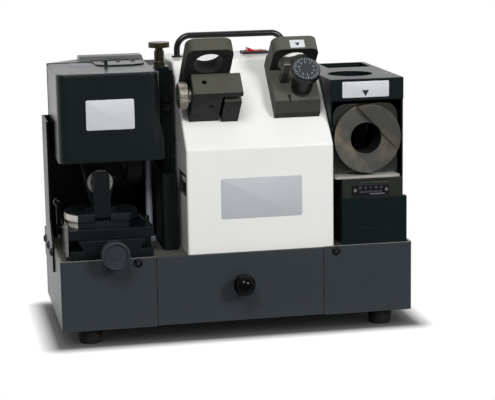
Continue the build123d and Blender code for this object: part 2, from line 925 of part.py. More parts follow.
def slide_gib():
    """Tapered strip between the right flank and the cross slide."""
    y = (cross_leg_y, cross_y[1])
    gib = front_prism(dovetail_outline(0, gib_t), y) - front_prism(dovetail_outline(0, slide_play), y)
    low = slide_top + slide_play
    return gib - block((station_x, station_x + cross_w), y, (slide_top, low))


def slide_lock():
    tilt = radians(lock_lever_tilt)
    lock = rod(UP, (lock_hub_x, lock_hub_y, cross_top + part_gap), lock_hub_r, lock_hub_h)
    lock += rod(DOWN, (lock_hub_x, lock_hub_y, cross_top + part_gap), lock_stud_r, lock_stud_in)
    root = (lock_hub_x, lock_hub_y, cross_top + lock_lever_h)
    return lock + rod((-cos(tilt), 0, sin(tilt)), root, lock_lever_r, lock_lever_l)


def slide_side_plate():
    x = (cross_x[0] - side_plate_t, cross_x[0])
    plate = block(x, side_plate_y, (side_plate_bottom, side_plate_top))
    return plate - lever_hole()


def gib_and_nut():
    x = (station_x - feed_nut_w / 2, station_x + feed_nut_w / 2)
    low = deck_top + screw_slot_floor + feed_nut_low
    nut = block(x, feed_nut_y, (low, cross_z))
    length = feed_nut_y[1] - feed_nut_y[0]
    nut -= rod(REAR, (station_x, feed_nut_y[0], feed_z), feed_r + run_play, length)
    return Part() + [slide_gib(), nut]


def feed_screw():
    start = knob_front + knob_t - knob_socket
    screw = rod(REAR, (station_x, start, feed_z), feed_r, screw_slot_y[1] - start - part_gap)
    tail_l = feed_tail_l + part_gap
    screw += rod(REAR, (station_x, screw_slot_y[1] - part_gap, feed_z), feed_tail_r, tail_l)
    return screw + rod(FRONT, (station_x, slide_y[0] - part_gap, feed_z), feed_collar_r, feed_collar_t)


def feed_knob():
    back = knob_front + knob_t
    outline = [
        (0, knob_t - knob_dish_d + knob_edge),
        (knob_boss_r, knob_t - knob_dish_d + knob_edge),
        (knob_boss_r, knob_t - knob_dish_d),
        (knob_dish_r, knob_t - knob_dish_d),
        (knob_dish_r + knob_dish_d / 2, knob_t),
        (knob_r - knob_edge, knob_t),
        (knob_r, knob_t - knob_edge),
        (knob_r, knob_edge),
        (knob_r - knob_edge, 0),
        (knob_hub_r, 0),
        (knob_hub_r, -knob_hub_t),
        (feed_r + run_play, -knob_hub_t),
        (feed_r + run_play, knob_socket),
        (0, knob_socket),
    ]
    return turned(FRONT, (station_x, back, feed_z), outline)


def flatted(disc, flat_y, radius):
    """Swivel disc with its front cut back to a flat."""
    x = (swivel_x - radius, swivel_x + radius)
    return disc - block(x, (swivel_y - radius, flat_y), (cross_top, table_top))


def swivel_ring():
    ring = tube(UP, (swivel_x, swivel_y, cross_top), ring_r, pivot_r + run_play, ring_t)
    return flatted(ring, ring_flat_y, ring_r)


def swivel_table():
    disc = flatted(rod(UP, (swivel_x, swivel_y, table_z), table_r, table_t), table_flat_y, table_r)
    disc = chamfer(disc.edges().group_by(Axis.Z)[-1], table_edge)
    low = cross_top + part_gap
    disc += rod(UP, (swivel_x, swivel_y, low), pivot_r, table_z - low)
    half = arm_w / 2 + part_gap
    notch_y = (table_flat_y, table_flat_y + arm_t + part_gap)
    disc -= block((holder_x - half, holder_x + half), notch_y, (table_z, table_top))
    return disc - arm_pin_rod(0)


def arm_pin_rod(play):
    """Hinge pin of the stop arm, grown by a play."""
    length = arm_w + 2 * (part_gap + arm_pin_in)
    return rod(RIGHT, (holder_x - length / 2, arm_y, arm_z), arm_pin_r + play, length)


def stop_arm_pin():
    return arm_pin_rod(-fit_play)


def stop_arm():
    x = (holder_x - arm_w / 2, holder_x + arm_w / 2)
    y = (arm_y - arm_t / 2, arm_y + arm_t / 2)
    outline = [(x[0], arm_z), (x[1], arm_z), (x[1], arm_top), (x[0], arm_top)]
    arm = front_prism(outline, y, [0, 0, arm_corner, arm_corner])
    arm += rod(RIGHT, (x[0], arm_y, arm_z), arm_t / 2, arm_w)
    return arm - arm_pin_rod(run_play)


def tool_holder():
    neck, waist, top = holder_neck_w / 2, holder_waist_w / 2, holder_top_w / 2
    outline = [
        (-neck, table_top),
        (neck, table_top),
        (waist, holder_waist_z),
        (top, holder_top),
        (-top, holder_top),
        (-waist, holder_waist_z),
    ]
    holder = front_prism([(holder_x + x, z) for x, z in outline], holder_y)
    half = holder_foot_w / 2
    holder += block((holder_x - half, holder_x + half), holder_y, (table_top, table_top + holder_foot_t))
    left = holder_x - top
    rest = [
        (left, holder_top),
        (left + rest_w, holder_top),
        (left + rest_w - rest_lean, holder_top + rest_h),
        (left - rest_lean, holder_top + rest_h),
    ]
    holder += front_prism(rest, rest_y)
    length = holder_y[1] - holder_y[0]
    return holder - rod(REAR, (holder_x, holder_y[0], sleeve_z), sleeve_r, length)


def tool_sleeve():
    start = (holder_x, sleeve_y[0], sleeve_z)
    return tube(REAR, start, sleeve_r, sleeve_bore_r, sleeve_y[1] - sleeve_y[0])


def lever_middle():
    """Middle of the clamp lever's hub."""
    return (cross_x[0] - side_plate_t - part_gap - lever_hub_t / 2, lever_y, lever_z)


def clamp_lever():
    x, y, z = lever_middle()
    left = x - lever_hub_t / 2
    lever = rod(RIGHT, (left, y, z), lever_hub_r, lever_hub_t)
    length = lever_hub_t + part_gap + side_plate_t + lever_stud_in - part_gap
    lever += rod(RIGHT, (left, y, z), lever_stud_r, length)
    lever += rod(UP, (x, y, z), lever_rod_r, lever_length)
    return lever + Pos(x, y, z + lever_length) * Sphere(lever_ball_r)


def guide_post():
    post = rod(UP, (post_x, post_y, deck_top), post_r, post_top - deck_top)
    post = chamfer(post.edges().sort_by(Axis.Z)[-1], post_dome)
    return post + rod(UP, (post_x, post_y, deck_top), post_foot_r, post_foot_t)


# Wheel hood, its hinge and its lock


def hood_outline(inset):
    """Front view of the hood as (x, z) points, taken in by an inset."""
    left, right = hood_x + inset, hood_right - inset
    return [
        (left, hood_z[0]),
        (right + hood_flare, hood_z[0]),
        (right + hood_flare, hood_flare_z),
        (right, hood_flare_z + hood_flare_h),
        (right, hood_z[1] - inset),
        (left, hood_z[1] - inset),
    ]


def hood_solid(inset):
    """Solid form of the hood, taken in by an inset, with its front edges rounded."""
    radii = [0, 0, hood_flare_h, hood_flare_h, 0, 0]
    solid = front_prism(hood_outline(inset), (hood_y[0] + inset, hood_y[1]), radii)
    front = solid.faces().sort_by(Axis.Y)[0].edges()
    top = hood_z[1] - inset
    uprights = [edge for edge in front if hood_z[0] < edge.center().Z - part_gap < top - 2 * part_gap]
    return fillet(uprights, hood_side_round - inset)


def hood_outside():
    """Outside of the hood with its top edges rounded."""
    solid = hood_solid(0)
    crown = solid.faces().sort_by(Axis.Z)[-1].edges()
    return fillet([edge for edge in crown if edge.center().Y < hood_y[1] - part_gap], hood_top_round)


def hood():
    shell = hood_outside() - hood_solid(hood_wall)
    notch_x = (hood_right - 2 * hood_wall, hood_right + hood_flare)
    shell -= block(notch_x, (hood_notch_y, hood_y[1]), (hood_z[0], hood_notch_z))
    ear_z = (hood_z[1] - ear_t, hood_z[1])
    ear = block((hood_right - 2 * hood_wall, ear_x), ear_y, ear_z)
    ear = fillet(ear.edges().filter_by(Axis.Z).sort_by(Axis.X)[-2:], ear_round)
    shell += ear
    shell += rod(UP, (stop_pin_x, stop_pin_y, hood_z[1]), stop_pin_r, stop_pin_h)
    return shell - rod(DOWN, (lock_x, lock_y, hood_z[1]), lock_pin_r + hole_play, ear_t)


def hinge_knuckles(spans, play):
    """Barrels of the hinge over some x spans, with their pin bore."""
    pieces = []
    for low, high in spans:
        start = (low, hinge_y, hinge_z)
        pieces.append(tube(RIGHT, start, hinge_r, hinge_pin_r + play, high - low))
    return pieces


def hinge_middle():
    """Span in x of the middle knuckle, on the housing's leaf."""
    inset = hinge_knuckle + hinge_knuckle_gap
    return (hinge_x[0] + inset, hinge_x[1] - inset)


def hood_hinge_leaf():
    ends = [(hinge_x[0], hinge_x[0] + hinge_knuckle), (hinge_x[1] - hinge_knuckle, hinge_x[1])]
    z = (hood_z[1], hood_z[1] + hinge_leaf_t)
    corners = [
        (hinge_x[0], hood_y[1]),
        (hinge_x[0], hood_leaf_y),
        (hinge_x[1], hood_leaf_y),
        (hinge_x[1], hood_y[1]),
    ]
    leaf = top_prism(corners, z, [0, hood_leaf_round, hood_leaf_round, 0])
    leaf += [block(span, (hood_y[1], hinge_y), z) for span in ends]
    leaf += hinge_knuckles(ends, run_play)
    return leaf - rod(RIGHT, (hinge_x[0], hinge_y, hinge_z), hinge_pin_r + run_play, hinge_x[1] - hinge_x[0])


def housing_hinge_leaf():
    low, high = hinge_middle()
    z = (housing_low, housing_low + hinge_leaf_t)
    leaf = block((low, high), (hinge_y, hinge_y + housing_leaf_l), z)
    leaf += rod(RIGHT, (low, hinge_y, hinge_z), hinge_r, high - low)
    return leaf + rod(RIGHT, (hinge_x[0], hinge_y, hinge_z), hinge_pin_r, hinge_x[1] - hinge_x[0])


def lock_body():
    height = lock_flange_t + lock_barrel_h
    outline = [
        (lock_pin_r + run_play, 0),
        (lock_flange_r, 0),
        (lock_flange_r, lock_flange_t),
        (lock_barrel_r, lock_flange_t),
        (lock_barrel_r, height),
        (lock_pin_r + run_play, height),
        (lock_pin_r + run_play, height - lock_cap_t),
        (lock_bore_r, height - lock_cap_t),
        (lock_bore_r, lock_floor_t),
        (lock_pin_r + run_play, lock_floor_t),
    ]
    return turned(UP, (lock_x, lock_y, lock_z), outline)


def lock_plunger():
    neck_z = lock_z + lock_flange_t + lock_barrel_h + part_gap
    head_z = neck_z + lock_neck_h - part_gap
    pin = rod(UP, (lock_x, lock_y, lock_pin_low), lock_pin_r, head_z - lock_pin_low)
    shoulder_z = lock_z + lock_floor_t + part_gap
    pin += rod(UP, (lock_x, lock_y, shoulder_z), lock_shoulder_r, lock_shoulder_t)
    pin += rod(UP, (lock_x, lock_y, neck_z), lock_neck_r, lock_neck_h - part_gap)
    grip = notched(lock_head_r, lock_head_h, lock_notches, lock_notch_r)
    return pin + Pos(lock_x, lock_y, head_z) * grip


def lock_spring():
    margin = part_gap + spring_wire / 2
    low = lock_z + lock_floor_t + part_gap + lock_shoulder_t + margin
    high = lock_z + lock_flange_t + lock_barrel_h - lock_cap_t - margin
    steps = spring_turns * spring_sides
    points = []
    for i in range(steps + 1):
        turn = radians(360 * i / spring_sides)
        points.append((spring_r * cos(turn), spring_r * sin(turn), (high - low) * i / steps))
    path = Polyline(*points)
    wire = Plane(path @ 0, z_dir=path % 0) * Rectangle(spring_wire, spring_wire)
    return Pos(lock_x, lock_y, low) * sweep(wire, path, transition=Transition.RIGHT)


def inner_column():
    column = block(inner_x, (inner_step_y, inner_back), (deck_top, inner_top))
    foot = block(inner_foot_x, (inner_y, inner_back), (deck_top, inner_step_z))
    column += fillet(foot.faces().sort_by(Axis.Y)[0].edges().filter_by(Axis.Z), inner_edge)
    column -= rod(RIGHT, (inner_x[0], spindle_y, spindle_z), inner_hole_r, inner_x[1] - inner_x[0])
    slot = extrude(SlotOverall(lock_slot_l, lock_slot_w, rotation=90), amount=lock_slot_d)
    return column - Pos(lock_x, lock_y, inner_top - lock_slot_d) * slot


def column_bolts():
    """Heads of the two socket bolts in the inner column's front."""
    head = Cylinder(bolt_r, bolt_head_h, align=ON_END)
    socket = extrude(RegularPolygon(bolt_socket_r, 6), amount=bolt_head_h / 2)
    head -= Pos(0, 0, bolt_head_h / 2) * socket
    return [Plane((sum(inner_x) / 2, inner_step_y, z), z_dir=FRONT) * head for z in bolt_z]


def housing_outline():
    """Plan of the wheel housing with its bevelled corner, as (x, y) points."""
    return [
        (hood_x, housing_y[0]),
        (housing_right, housing_y[0]),
        (housing_right, housing_y[1]),
        (housing_corner[0], housing_y[1]),
        (hood_x, housing_corner[1]),
    ]


def wheel_housing():
    outer = top_prism(housing_outline(), (deck_top, housing_low))
    lip = [
        (housing_y[0], housing_low),
        (housing_y[0] + housing_lip_run, housing_top),
        (housing_y[1], housing_top),
        (housing_y[1], housing_low),
    ]
    outer += side_prism(lip, (housing_lip_x, housing_right))
    room = offset(make_face(Polyline(*housing_outline(), close=True)), -housing_wall, kind=Kind.INTERSECTION)
    roof = housing_low - housing_wall
    outer -= extrude(Plane.XY.offset(deck_top) * room, amount=roof - deck_top, dir=UP)
    front_y = (housing_y[0], housing_y[0] + housing_wall)
    outer -= block((hood_x + 2 * housing_wall, housing_right - housing_wall), front_y, (deck_top, roof))
    leaf_z = (housing_low, housing_low + hinge_leaf_t)
    return outer - block(hinge_middle(), (housing_y[0], hinge_y + housing_leaf_l), leaf_z)


# Drill station


def column_shell():
    shell = block(column_x, column_y, (deck_top, column_top_z))
    inside_x = (column_x[0] + column_wall, column_x[1] - column_wall)
    inside_y = (column_y[0], column_y[1] - column_wall)
    shell -= block(inside_x, inside_y, (deck_top, column_top_z))
    return shell - rod(RIGHT, (column_x[0], spindle_y, spindle_z), shaft_hole_r, column_wall)


def column_top():
    front = column_y[0] - column_wall
    plate = block(column_x, (front, column_y[1]), (column_top_z, column_top_z + column_top_t))
    plate += block(column_x, (front, column_y[0]), (column_top_z - fascia_h, column_top_z))
    plate -= rod(UP, (cup_x, cup_y, column_top_z), cup_r, column_top_t)
    return plate - block(pocket_x, pocket_y, (column_top_z, column_top_z + column_top_t))


def storage_cups():
    low = column_top_z - cup_depth
    cup = rod(UP, (cup_x, cup_y, low), cup_r + cup_wall, cup_depth)
    cup -= rod(UP, (cup_x, cup_y, low + cup_floor), cup_r, cup_depth - cup_floor)
    x = (pocket_x[0] - cup_wall, pocket_x[1] + cup_wall)
    y = (pocket_y[0] - cup_wall, pocket_y[1] + cup_wall)
    pocket = block(x, y, (low, column_top_z))
    pocket -= block(pocket_x, pocket_y, (low + cup_floor, column_top_z))
    return Part() + [cup, pocket]


def head_pivot(play, length):
    """Pivot pin of the angle head, grown by a play, down from the pedestal top."""
    return rod(DOWN, (head_x, head_y, pedestal_top), head_pin_r + play, length)


def pedestal():
    foot = block(pedestal_x, pedestal_y, (deck_top, pedestal_top))
    foot -= block(groove_x, (pedestal_y[0], pedestal_y[0] + groove_d), groove_z)
    return foot - head_pivot(run_play, head_pin_l + part_gap)


def tapered_plan(front_w, rear_w, y):
    """Plan of the angle head, narrower at the rear, as (x, y) points."""
    return [
        (head_x - front_w / 2, y[0]),
        (head_x + front_w / 2, y[0]),
        (head_x + rear_w / 2, y[1]),
        (head_x - rear_w / 2, y[1]),
    ]


def swivel_plate():
    low = pedestal_top + part_gap
    plan = tapered_plan(plate_front_w, plate_rear_w, plate_y)
    plate = Pos(plate_shift, 0, 0) * top_prism(plan, (low, low + plate_t), plate_round)
    plate += head_pivot(0, head_pin_l)
    return plate + rod(UP, (head_x, head_y, pedestal_top), head_pin_r, part_gap)


def chuck_bore(y):
    """Cutter for the drill chuck bore between two y limits."""
    return rod(REAR, (chuck_x, y[0], spindle_z), chuck_r, y[1] - y[0])


def angle_block():
    low = pedestal_top + part_gap + plate_t
    plan = tapered_plan(angle_block_w, angle_rear_w, angle_block_y)
    body = top_prism(plan, (low, angle_top))
    half = angle_block_w / 2
    left = head_x - half
    right = head_x + half
    corners = [(left, low), (right, low), (right, angle_top), (left, angle_top)]
    body &= front_prism(corners, angle_block_y, [0, 0, angle_round, angle_round])
    return body - chuck_bore(angle_block_y)


def cam_land(edge):
    """Ramped land beyond an edge line, in the disc's own axes, channel along x."""
    ramp = [(-disc_r, 0), (disc_r, 0), (disc_r, land_low), (-disc_r, land_high)]
    face = Plane.XZ.offset(-edge) * make_face(Polyline(*ramp, close=True))
    return extrude(face, amount=disc_r, dir=REAR) & Cylinder(disc_r, land_high, align=ON_END)


def cam_disc():
    disc = Cylinder(disc_r, disc_base_t, align=ON_END)
    upper = cam_land(channel_shift + channel_w / 2)
    lower = Rot(0, 0, 180) * cam_land(channel_w / 2 - channel_shift)
    disc += [Pos(0, 0, disc_base_t) * land for land in (upper, lower)]
    disc = chamfer(disc.edges().sort_by(Axis.Z)[0], disc_edge)
    face = Plane((head_x, disc_y[1], spindle_z), x_dir=RIGHT, z_dir=FRONT)
    disc = face * (Rot(0, 0, -channel_tilt) * disc)
    return disc - chuck_bore(disc_y)


def scale_plate():
    x = (scale_x - scale_w / 2, scale_x + scale_w / 2)
    return block(x, (pedestal_y[0] - scale_t, pedestal_y[0]), (scale_bottom, scale_bottom + scale_h))


def scale_screws():
    """Two screw heads on the scale plate."""
    reach = scale_w / 2 - scale_screw_inset
    z = scale_bottom + scale_h / 2
    face = pedestal_y[0] - scale_t
    return [rod(FRONT, (scale_x + side * reach, face, z), scale_screw_r, scale_screw_h) for side in (-1, 1)]


def bright_screws():
    return Part() + scale_screws()


def lower_cover():
    cover = block(lower_x, lower_y, (deck_top, lower_top))
    inside_x = (lower_x[0] + lower_sheet, lower_x[1] - lower_sheet)
    inside_y = (lower_y[0] + lower_sheet, lower_y[1])
    cover -= block(inside_x, inside_y, (deck_top, lower_top - lower_sheet))
    centre = (sum(lower_x) / 2, lower_y[0], lower_top)
    return cover - tube(REAR, centre, emboss_r + emboss_w / 2, emboss_r - emboss_w / 2, emboss_d)


# Setting gauges, built in the slope's own axes: x, s up the slope, n off it


def gauge_arch(x, s, n, bore, bore_r):
    """Arch with rounded top corners and a chuck bore along the slope."""
    arch = front_prism(
        [(x[0], n[0]), (x[1], n[0]), (x[1], n[1]), (x[0], n[1])], s, [0, 0, arch_round, arch_round]
    )
    return arch - rod(REAR, (bore[0], s[0], bore[1]), bore_r, s[1] - s[0])


def nut_line(start_x, radius, length):
    """Rod along the thumb nut's axis."""
    return rod(RIGHT, (start_x, nut_s, nut_n), radius, length)


def mill_block():
    """Block of the end mill gauge with its notch and holes."""
    body = block(mill_x, mill_s, (0, mill_n))
    body = chamfer(body.faces().sort_by(Axis.Z)[-1].edges(), mill_edge)
    body -= block((mill_notch_x, mill_x[1]), (mill_s[0], mill_notch_s), (0, mill_notch_n))
    body -= rod(DOWN, (*mill_top_hole, mill_n), mill_hole_r, mill_hole_d)
    body -= rod(REAR, (mill_end_hole[0], mill_s[0], mill_end_hole[1]), mill_hole_r, mill_hole_d)
    return body - nut_line(mill_x[0], nut_stud_r, nut_stud_in)


def mill_arch():
    """Arch of the end mill gauge."""
    half = mill_arch_w / 2
    s = (mill_s[1], mill_s[1] + mill_arch_t)
    x = (mill_arch_x - half, mill_arch_x + half)
    return gauge_arch(x, s, (0, mill_arch_n), (mill_arch_x, mill_bore_n), mill_bore_r)


def mill_gauge():
    stop = block(mill_stop_x, (mill_stop_s, mill_notch_s), (0, mill_stop_n))
    stop = chamfer(stop.faces().sort_by(Axis.Y)[0].edges().sort_by(Axis.Z)[-1], mill_edge)
    return slope * (Part() + [mill_block() + mill_arch(), stop])


def mill_gauge_nut():
    width = nut_x[1] - nut_x[0]
    total = mill_x[0] - part_gap - nut_x[0]
    bore = nut_stud_r + run_play
    outline = [
        (bore, 0),
        (nut_r - nut_edge, 0),
        (nut_r, nut_edge),
        (nut_r, width - nut_edge),
        (nut_r - nut_edge, width),
        (nut_collar_r, width),
        (nut_collar_r, total),
        (bore, total),
    ]
    return slope * turned(RIGHT, (nut_x[0], nut_s, nut_n), outline)


def drill_bore():
    """Middle of the drill gauge's bore as (x, n)."""
    return (sum(drill_x) / 2, drill_bore_n)


def drill_gauge():
    bevel = drill_n - drill_end_n
    outline = [
        (drill_s[0], 0),
        (drill_s[0], drill_end_n),
        (drill_s[0] + bevel, drill_n),
        (drill_s[1], drill_n),
        (drill_s[1], 0),
    ]
    base = side_prism(outline, drill_x)
    wedge = [(mark_x, mark_s[0]), (mark_x + mark_w / 2, mark_s[1]), (mark_x - mark_w / 2, mark_s[1])]
    mark = top_prism(wedge, (0, drill_n)) - Pos(0, 0, -mark_d) * base
    x, n = drill_bore()
    base -= rod(REAR, (x, trough_s, n), chuck_r, drill_s[1] - trough_s)
    base += rod(UP, (dial_x, dial_s, drill_n), dial_boss_r, dial_boss_n - drill_n)
    base += gauge_arch(drill_x, drill_arch_s, (drill_n, drill_arch_n), drill_bore(), chuck_r)
    base -= rod(DOWN, (dial_x, dial_s, dial_boss_n), dial_stud_r, dial_boss_n - drill_end_n)
    base -= block(finger_x, finger_s, (drill_n - finger_in, drill_n))
    return slope * (base - mark)


def gauge_pins():
    low = drill_n - finger_in
    outline = [(finger_s[0], low), (finger_s[1], low), (finger_s[1], finger_n), (finger_s[0], finger_n)]
    finger = side_prism(outline, finger_x, [0, 0, 0, (finger_s[1] - finger_s[0]) / 2])
    dial_stud = rod(UP, (dial_x, dial_s, drill_end_n), dial_stud_r, dial_stud_n - drill_end_n)
    start = nut_x[0] + part_gap
    nut_stud = nut_line(start, nut_stud_r, mill_x[0] + nut_stud_in - start)
    return slope * (Part() + [finger, dial_stud, nut_stud])


def gauge_dial():
    low = dial_boss_n + part_gap
    outline = [
        (dial_stud_r + run_play, 0),
        (dial_skirt_r, 0),
        (dial_skirt_r, dial_skirt_n - low),
        (dial_r - dial_edge, dial_skirt_n - low),
        (dial_r, dial_skirt_n + dial_edge - low),
        (dial_r, dial_n - dial_edge - low),
        (dial_r - dial_edge, dial_n - low),
        (0, dial_n - low),
        (0, dial_stud_n + part_gap - low),
        (dial_stud_r + run_play, dial_stud_n + part_gap - low),
    ]
    return slope * turned(UP, (dial_x, dial_s, low), outline)


nodes = [
    base_shell,
    base_floor,
    deck_plate,
    rubber_feet,
    case_screws,
    bright_screws,
    drawer_front,
    drawer_tray,
    drawer_knob,
    drawer_rails,
    left_side_guard,
    cable_gland,
    main_cover,
    carry_handle,
    switch_bezel,
    switch_rocker,
    motor_body,
    motor_cradle,
    spindle_bearings,
    spindle_shaft,
    wheel_hubs,
    wheel_rims,
    wheel_clamps,
    slide_base,
    cross_slide,
    gib_and_nut,
    slide_side_plate,
    slide_lock,
    feed_screw,
    feed_knob,
    swivel_ring,
    swivel_table,
    stop_arm_pin,
    stop_arm,
    tool_holder,
    tool_sleeve,
    clamp_lever,
    guide_post,
    hood,
    hood_hinge_leaf,
    housing_hinge_leaf,
    lock_body,
    lock_plunger,
    lock_spring,
    inner_column,
    wheel_housing,
    column_shell,
    column_top,
    storage_cups,
    pedestal,
    swivel_plate,
    angle_block,
    cam_disc,
    scale_plate,
    lower_cover,
    mill_gauge,
    mill_gauge_nut,
    drill_gauge,
    gauge_pins,
    gauge_dial,
]

# The origin goes to the floor under the middle of the machine's box
x_middle = (base_l - left_reach) / 2
y_middle = (base_d + rear_reach - front_reach) / 2
to_origin = Pos(-x_middle, -y_middle, foot_h - base_bottom)

os.makedirs("parts", exist_ok=True)
for make in nodes:
    export_step(to_origin * make(), f"parts/{make.__name__}.step")
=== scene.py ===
"""Looks of a bench-top universal tool grinder: finishes, plates, scales, lights and camera."""

import logging
import math
from dataclasses import dataclass
from enum import Enum
from functools import lru_cache, partial

import bmesh
import bpy
from bmesh.types import BMEdge, BMFace, BMVert
from bpy.types import Material, Node, NodeSocket, NodeTree, Object
from mathutils import Matrix, Vector


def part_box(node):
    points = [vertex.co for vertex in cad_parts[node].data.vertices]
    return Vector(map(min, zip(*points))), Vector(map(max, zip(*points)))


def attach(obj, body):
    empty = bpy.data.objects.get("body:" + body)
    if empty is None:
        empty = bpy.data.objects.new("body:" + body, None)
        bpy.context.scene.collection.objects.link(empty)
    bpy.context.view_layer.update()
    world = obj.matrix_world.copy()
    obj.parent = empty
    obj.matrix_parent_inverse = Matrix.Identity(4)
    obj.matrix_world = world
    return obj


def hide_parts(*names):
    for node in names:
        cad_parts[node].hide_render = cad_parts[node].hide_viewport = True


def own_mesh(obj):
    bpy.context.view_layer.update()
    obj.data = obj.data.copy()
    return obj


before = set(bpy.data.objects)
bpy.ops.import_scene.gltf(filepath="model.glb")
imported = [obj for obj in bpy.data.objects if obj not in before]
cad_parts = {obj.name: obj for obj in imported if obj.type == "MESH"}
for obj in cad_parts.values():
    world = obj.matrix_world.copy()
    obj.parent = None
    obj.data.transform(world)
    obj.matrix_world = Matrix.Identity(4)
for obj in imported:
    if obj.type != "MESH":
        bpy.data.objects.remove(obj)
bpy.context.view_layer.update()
LOG = logging.getLogger("grinder")

Pair = tuple[float, float]
Point = tuple[float, float, float]
# What a node gets: a socket's name or number, with a plain value, a socket or a node
Feeds = dict[str | int, object]

MM = 0.001
BASE_LEVEL = 12.0
# Bench places are millimetres from the base's left front corner, with the base's underside at BASE_LEVEL
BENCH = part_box("base_shell")[0] - Vector((0.0, 0.0, BASE_LEVEL * MM))
RIGHT, REAR, UP = Vector((1, 0, 0)), Vector((0, 1, 0)), Vector((0, 0, 1))
# Most of a noise pattern lies between these values
NOISE_LOW, NOISE_HIGH = 0.3, 0.7
# A wave pattern of scale 1 repeats after this length
WAVE_LENGTH = math.tau / 20
# Rays that round an edge, and the cosine of the bend at which its wear starts
EDGE_RAYS = 4
WEAR_START = 0.985
# Thickness of printed and cut marks, in millimetres
MARK = 0.1
HEXAGON = 6
# Pointers are triangles, turned by this many degrees to point down
TRIANGLE = 3
POINT_DOWN = 180.0


def linear(code: str) -> tuple[float, float, float, float]:
    """Turns a colour as it looks on a screen into linear light.

    Args:
        code: sRGB hex code such as "#A0A0A0".

    Returns:
        Red, green, blue and alpha in linear light.
    """
    parts = [int(code[i:i + 2], 16) / 255 for i in (1, 3, 5)]
    red, green, blue = [c / 12.92 if c <= 0.04045 else ((c + 0.055) / 1.055) ** 2.4 for c in parts]
    return red, green, blue, 1.0


def per_mm(size: float) -> float:
    """Texture scale that repeats a pattern about every size millimetres."""
    return 1.0 / (size * MM)


def add_node(tree: NodeTree, kind: str, feeds: Feeds | None = None, **settings: object) -> Node:
    """Adds a shader node, with its settings and what feeds it.

    A Mix takes its share and two colours at 0, 6 and 7 and gives its colour at 2. A Map Range takes its
    value at 0, the ends of its input at 1 and 2, and the ends of its result at 3 and 4.

    Args:
        tree: node tree that gets the node.
        kind: node type without its ShaderNode prefix.
        feeds: socket name or number, with a plain value, a socket, or a node whose first output drives it.
        settings: properties of the node itself.

    Returns:
        The new node.
    """
    node = tree.nodes.new("ShaderNode" + kind)
    for name, value in settings.items():
        setattr(node, name, value)
    for socket, value in (feeds or {}).items():
        source = value.outputs[0] if isinstance(value, Node) else value
        if isinstance(source, NodeSocket):
            tree.links.new(source, node.inputs[socket])
        else:
            node.inputs[socket].default_value = source
    return node


def relief(tree: NodeTree, height: Node | NodeSocket, depth_mm: float, edge_mm: float) -> Node:
    """Raises a pattern on a surface and rounds the edges under it.

    Args:
        tree: node tree of the material.
        height: the pattern.
        depth_mm: how far it stands out.
        edge_mm: radius of the edges.

    Returns:
        Node with the surface's normal.
    """
    raised = add_node(tree, "Bump", {"Strength": 1.0, "Distance": depth_mm * MM, "Height": height})
    return add_node(tree, "Bevel", {"Radius": edge_mm * MM, "Normal": raised}, samples=EDGE_RAYS)


def edge_wear(tree: NodeTree, soft: Node, end: float, share: float) -> Node:
    """Finds how far a surface is worn, from how much its rounded edges bend.

    Args:
        tree: node tree of the material.
        soft: node with the rounded normal.
        end: cosine of the bend at which wear is full.
        share: full wear.

    Returns:
        Node with the share of wear.
    """
    flat = add_node(tree, "NewGeometry").outputs["Normal"]
    fold = add_node(tree, "VectorMath", {0: soft, 1: flat}, operation="DOT_PRODUCT").outputs["Value"]
    return add_node(tree, "MapRange", {0: fold, 1: WEAR_START, 2: end, 3: 0.0, 4: share})


def bench(x: float, y: float, z: float) -> Vector:
    """A place on the bench, in millimetres from the base's corner, as a point of the frame."""
    return BENCH + Vector((x, y, z)) * MM


def facing(origin: Vector, right: Vector, up: Vector) -> Matrix:
    """Places a flat piece that was drawn face up.

    Args:
        origin: where its middle goes.
        right: direction of its own x.
        up: direction of its own y.

    Returns:
        Matrix from the piece's own axes to the frame.
    """
    out = right.cross(up)
    turn = Matrix((right, up, out)).transposed().to_4x4()
    return Matrix.Translation(origin) @ turn


def only(kind: type, geometry: list) -> list:
    """The elements of one kind in what a mesh operator returns."""
    return [g for g in geometry if isinstance(g, kind)]


class Axis(Enum):
    """Direction that a ground or turned surface is worked along, or turned about."""

    X = "X"
    Y = "Y"
    Z = "Z"


@dataclass(frozen=True)
class Finish:
    """A finish. Each kind of finish draws its own patterns with nodes."""

    name: str

    def draw(self, tree: NodeTree) -> Feeds:
        """Draws the finish's patterns and returns what its shader gets."""
        raise NotImplementedError


@lru_cache(maxsize=None)
def material_of(finish: Finish) -> Material:
    """Makes a finish's material once.

    Args:
        finish: what the surface is.

    Returns:
        The material, the same one each time.
    """
    made = bpy.data.materials.new(finish.name)
    made.use_nodes = True
    tree = made.node_tree
    tree.nodes.clear()
    shader = add_node(tree, "BsdfPrincipled", finish.draw(tree))
    add_node(tree, "OutputMaterial", {"Surface": shader})
    return made


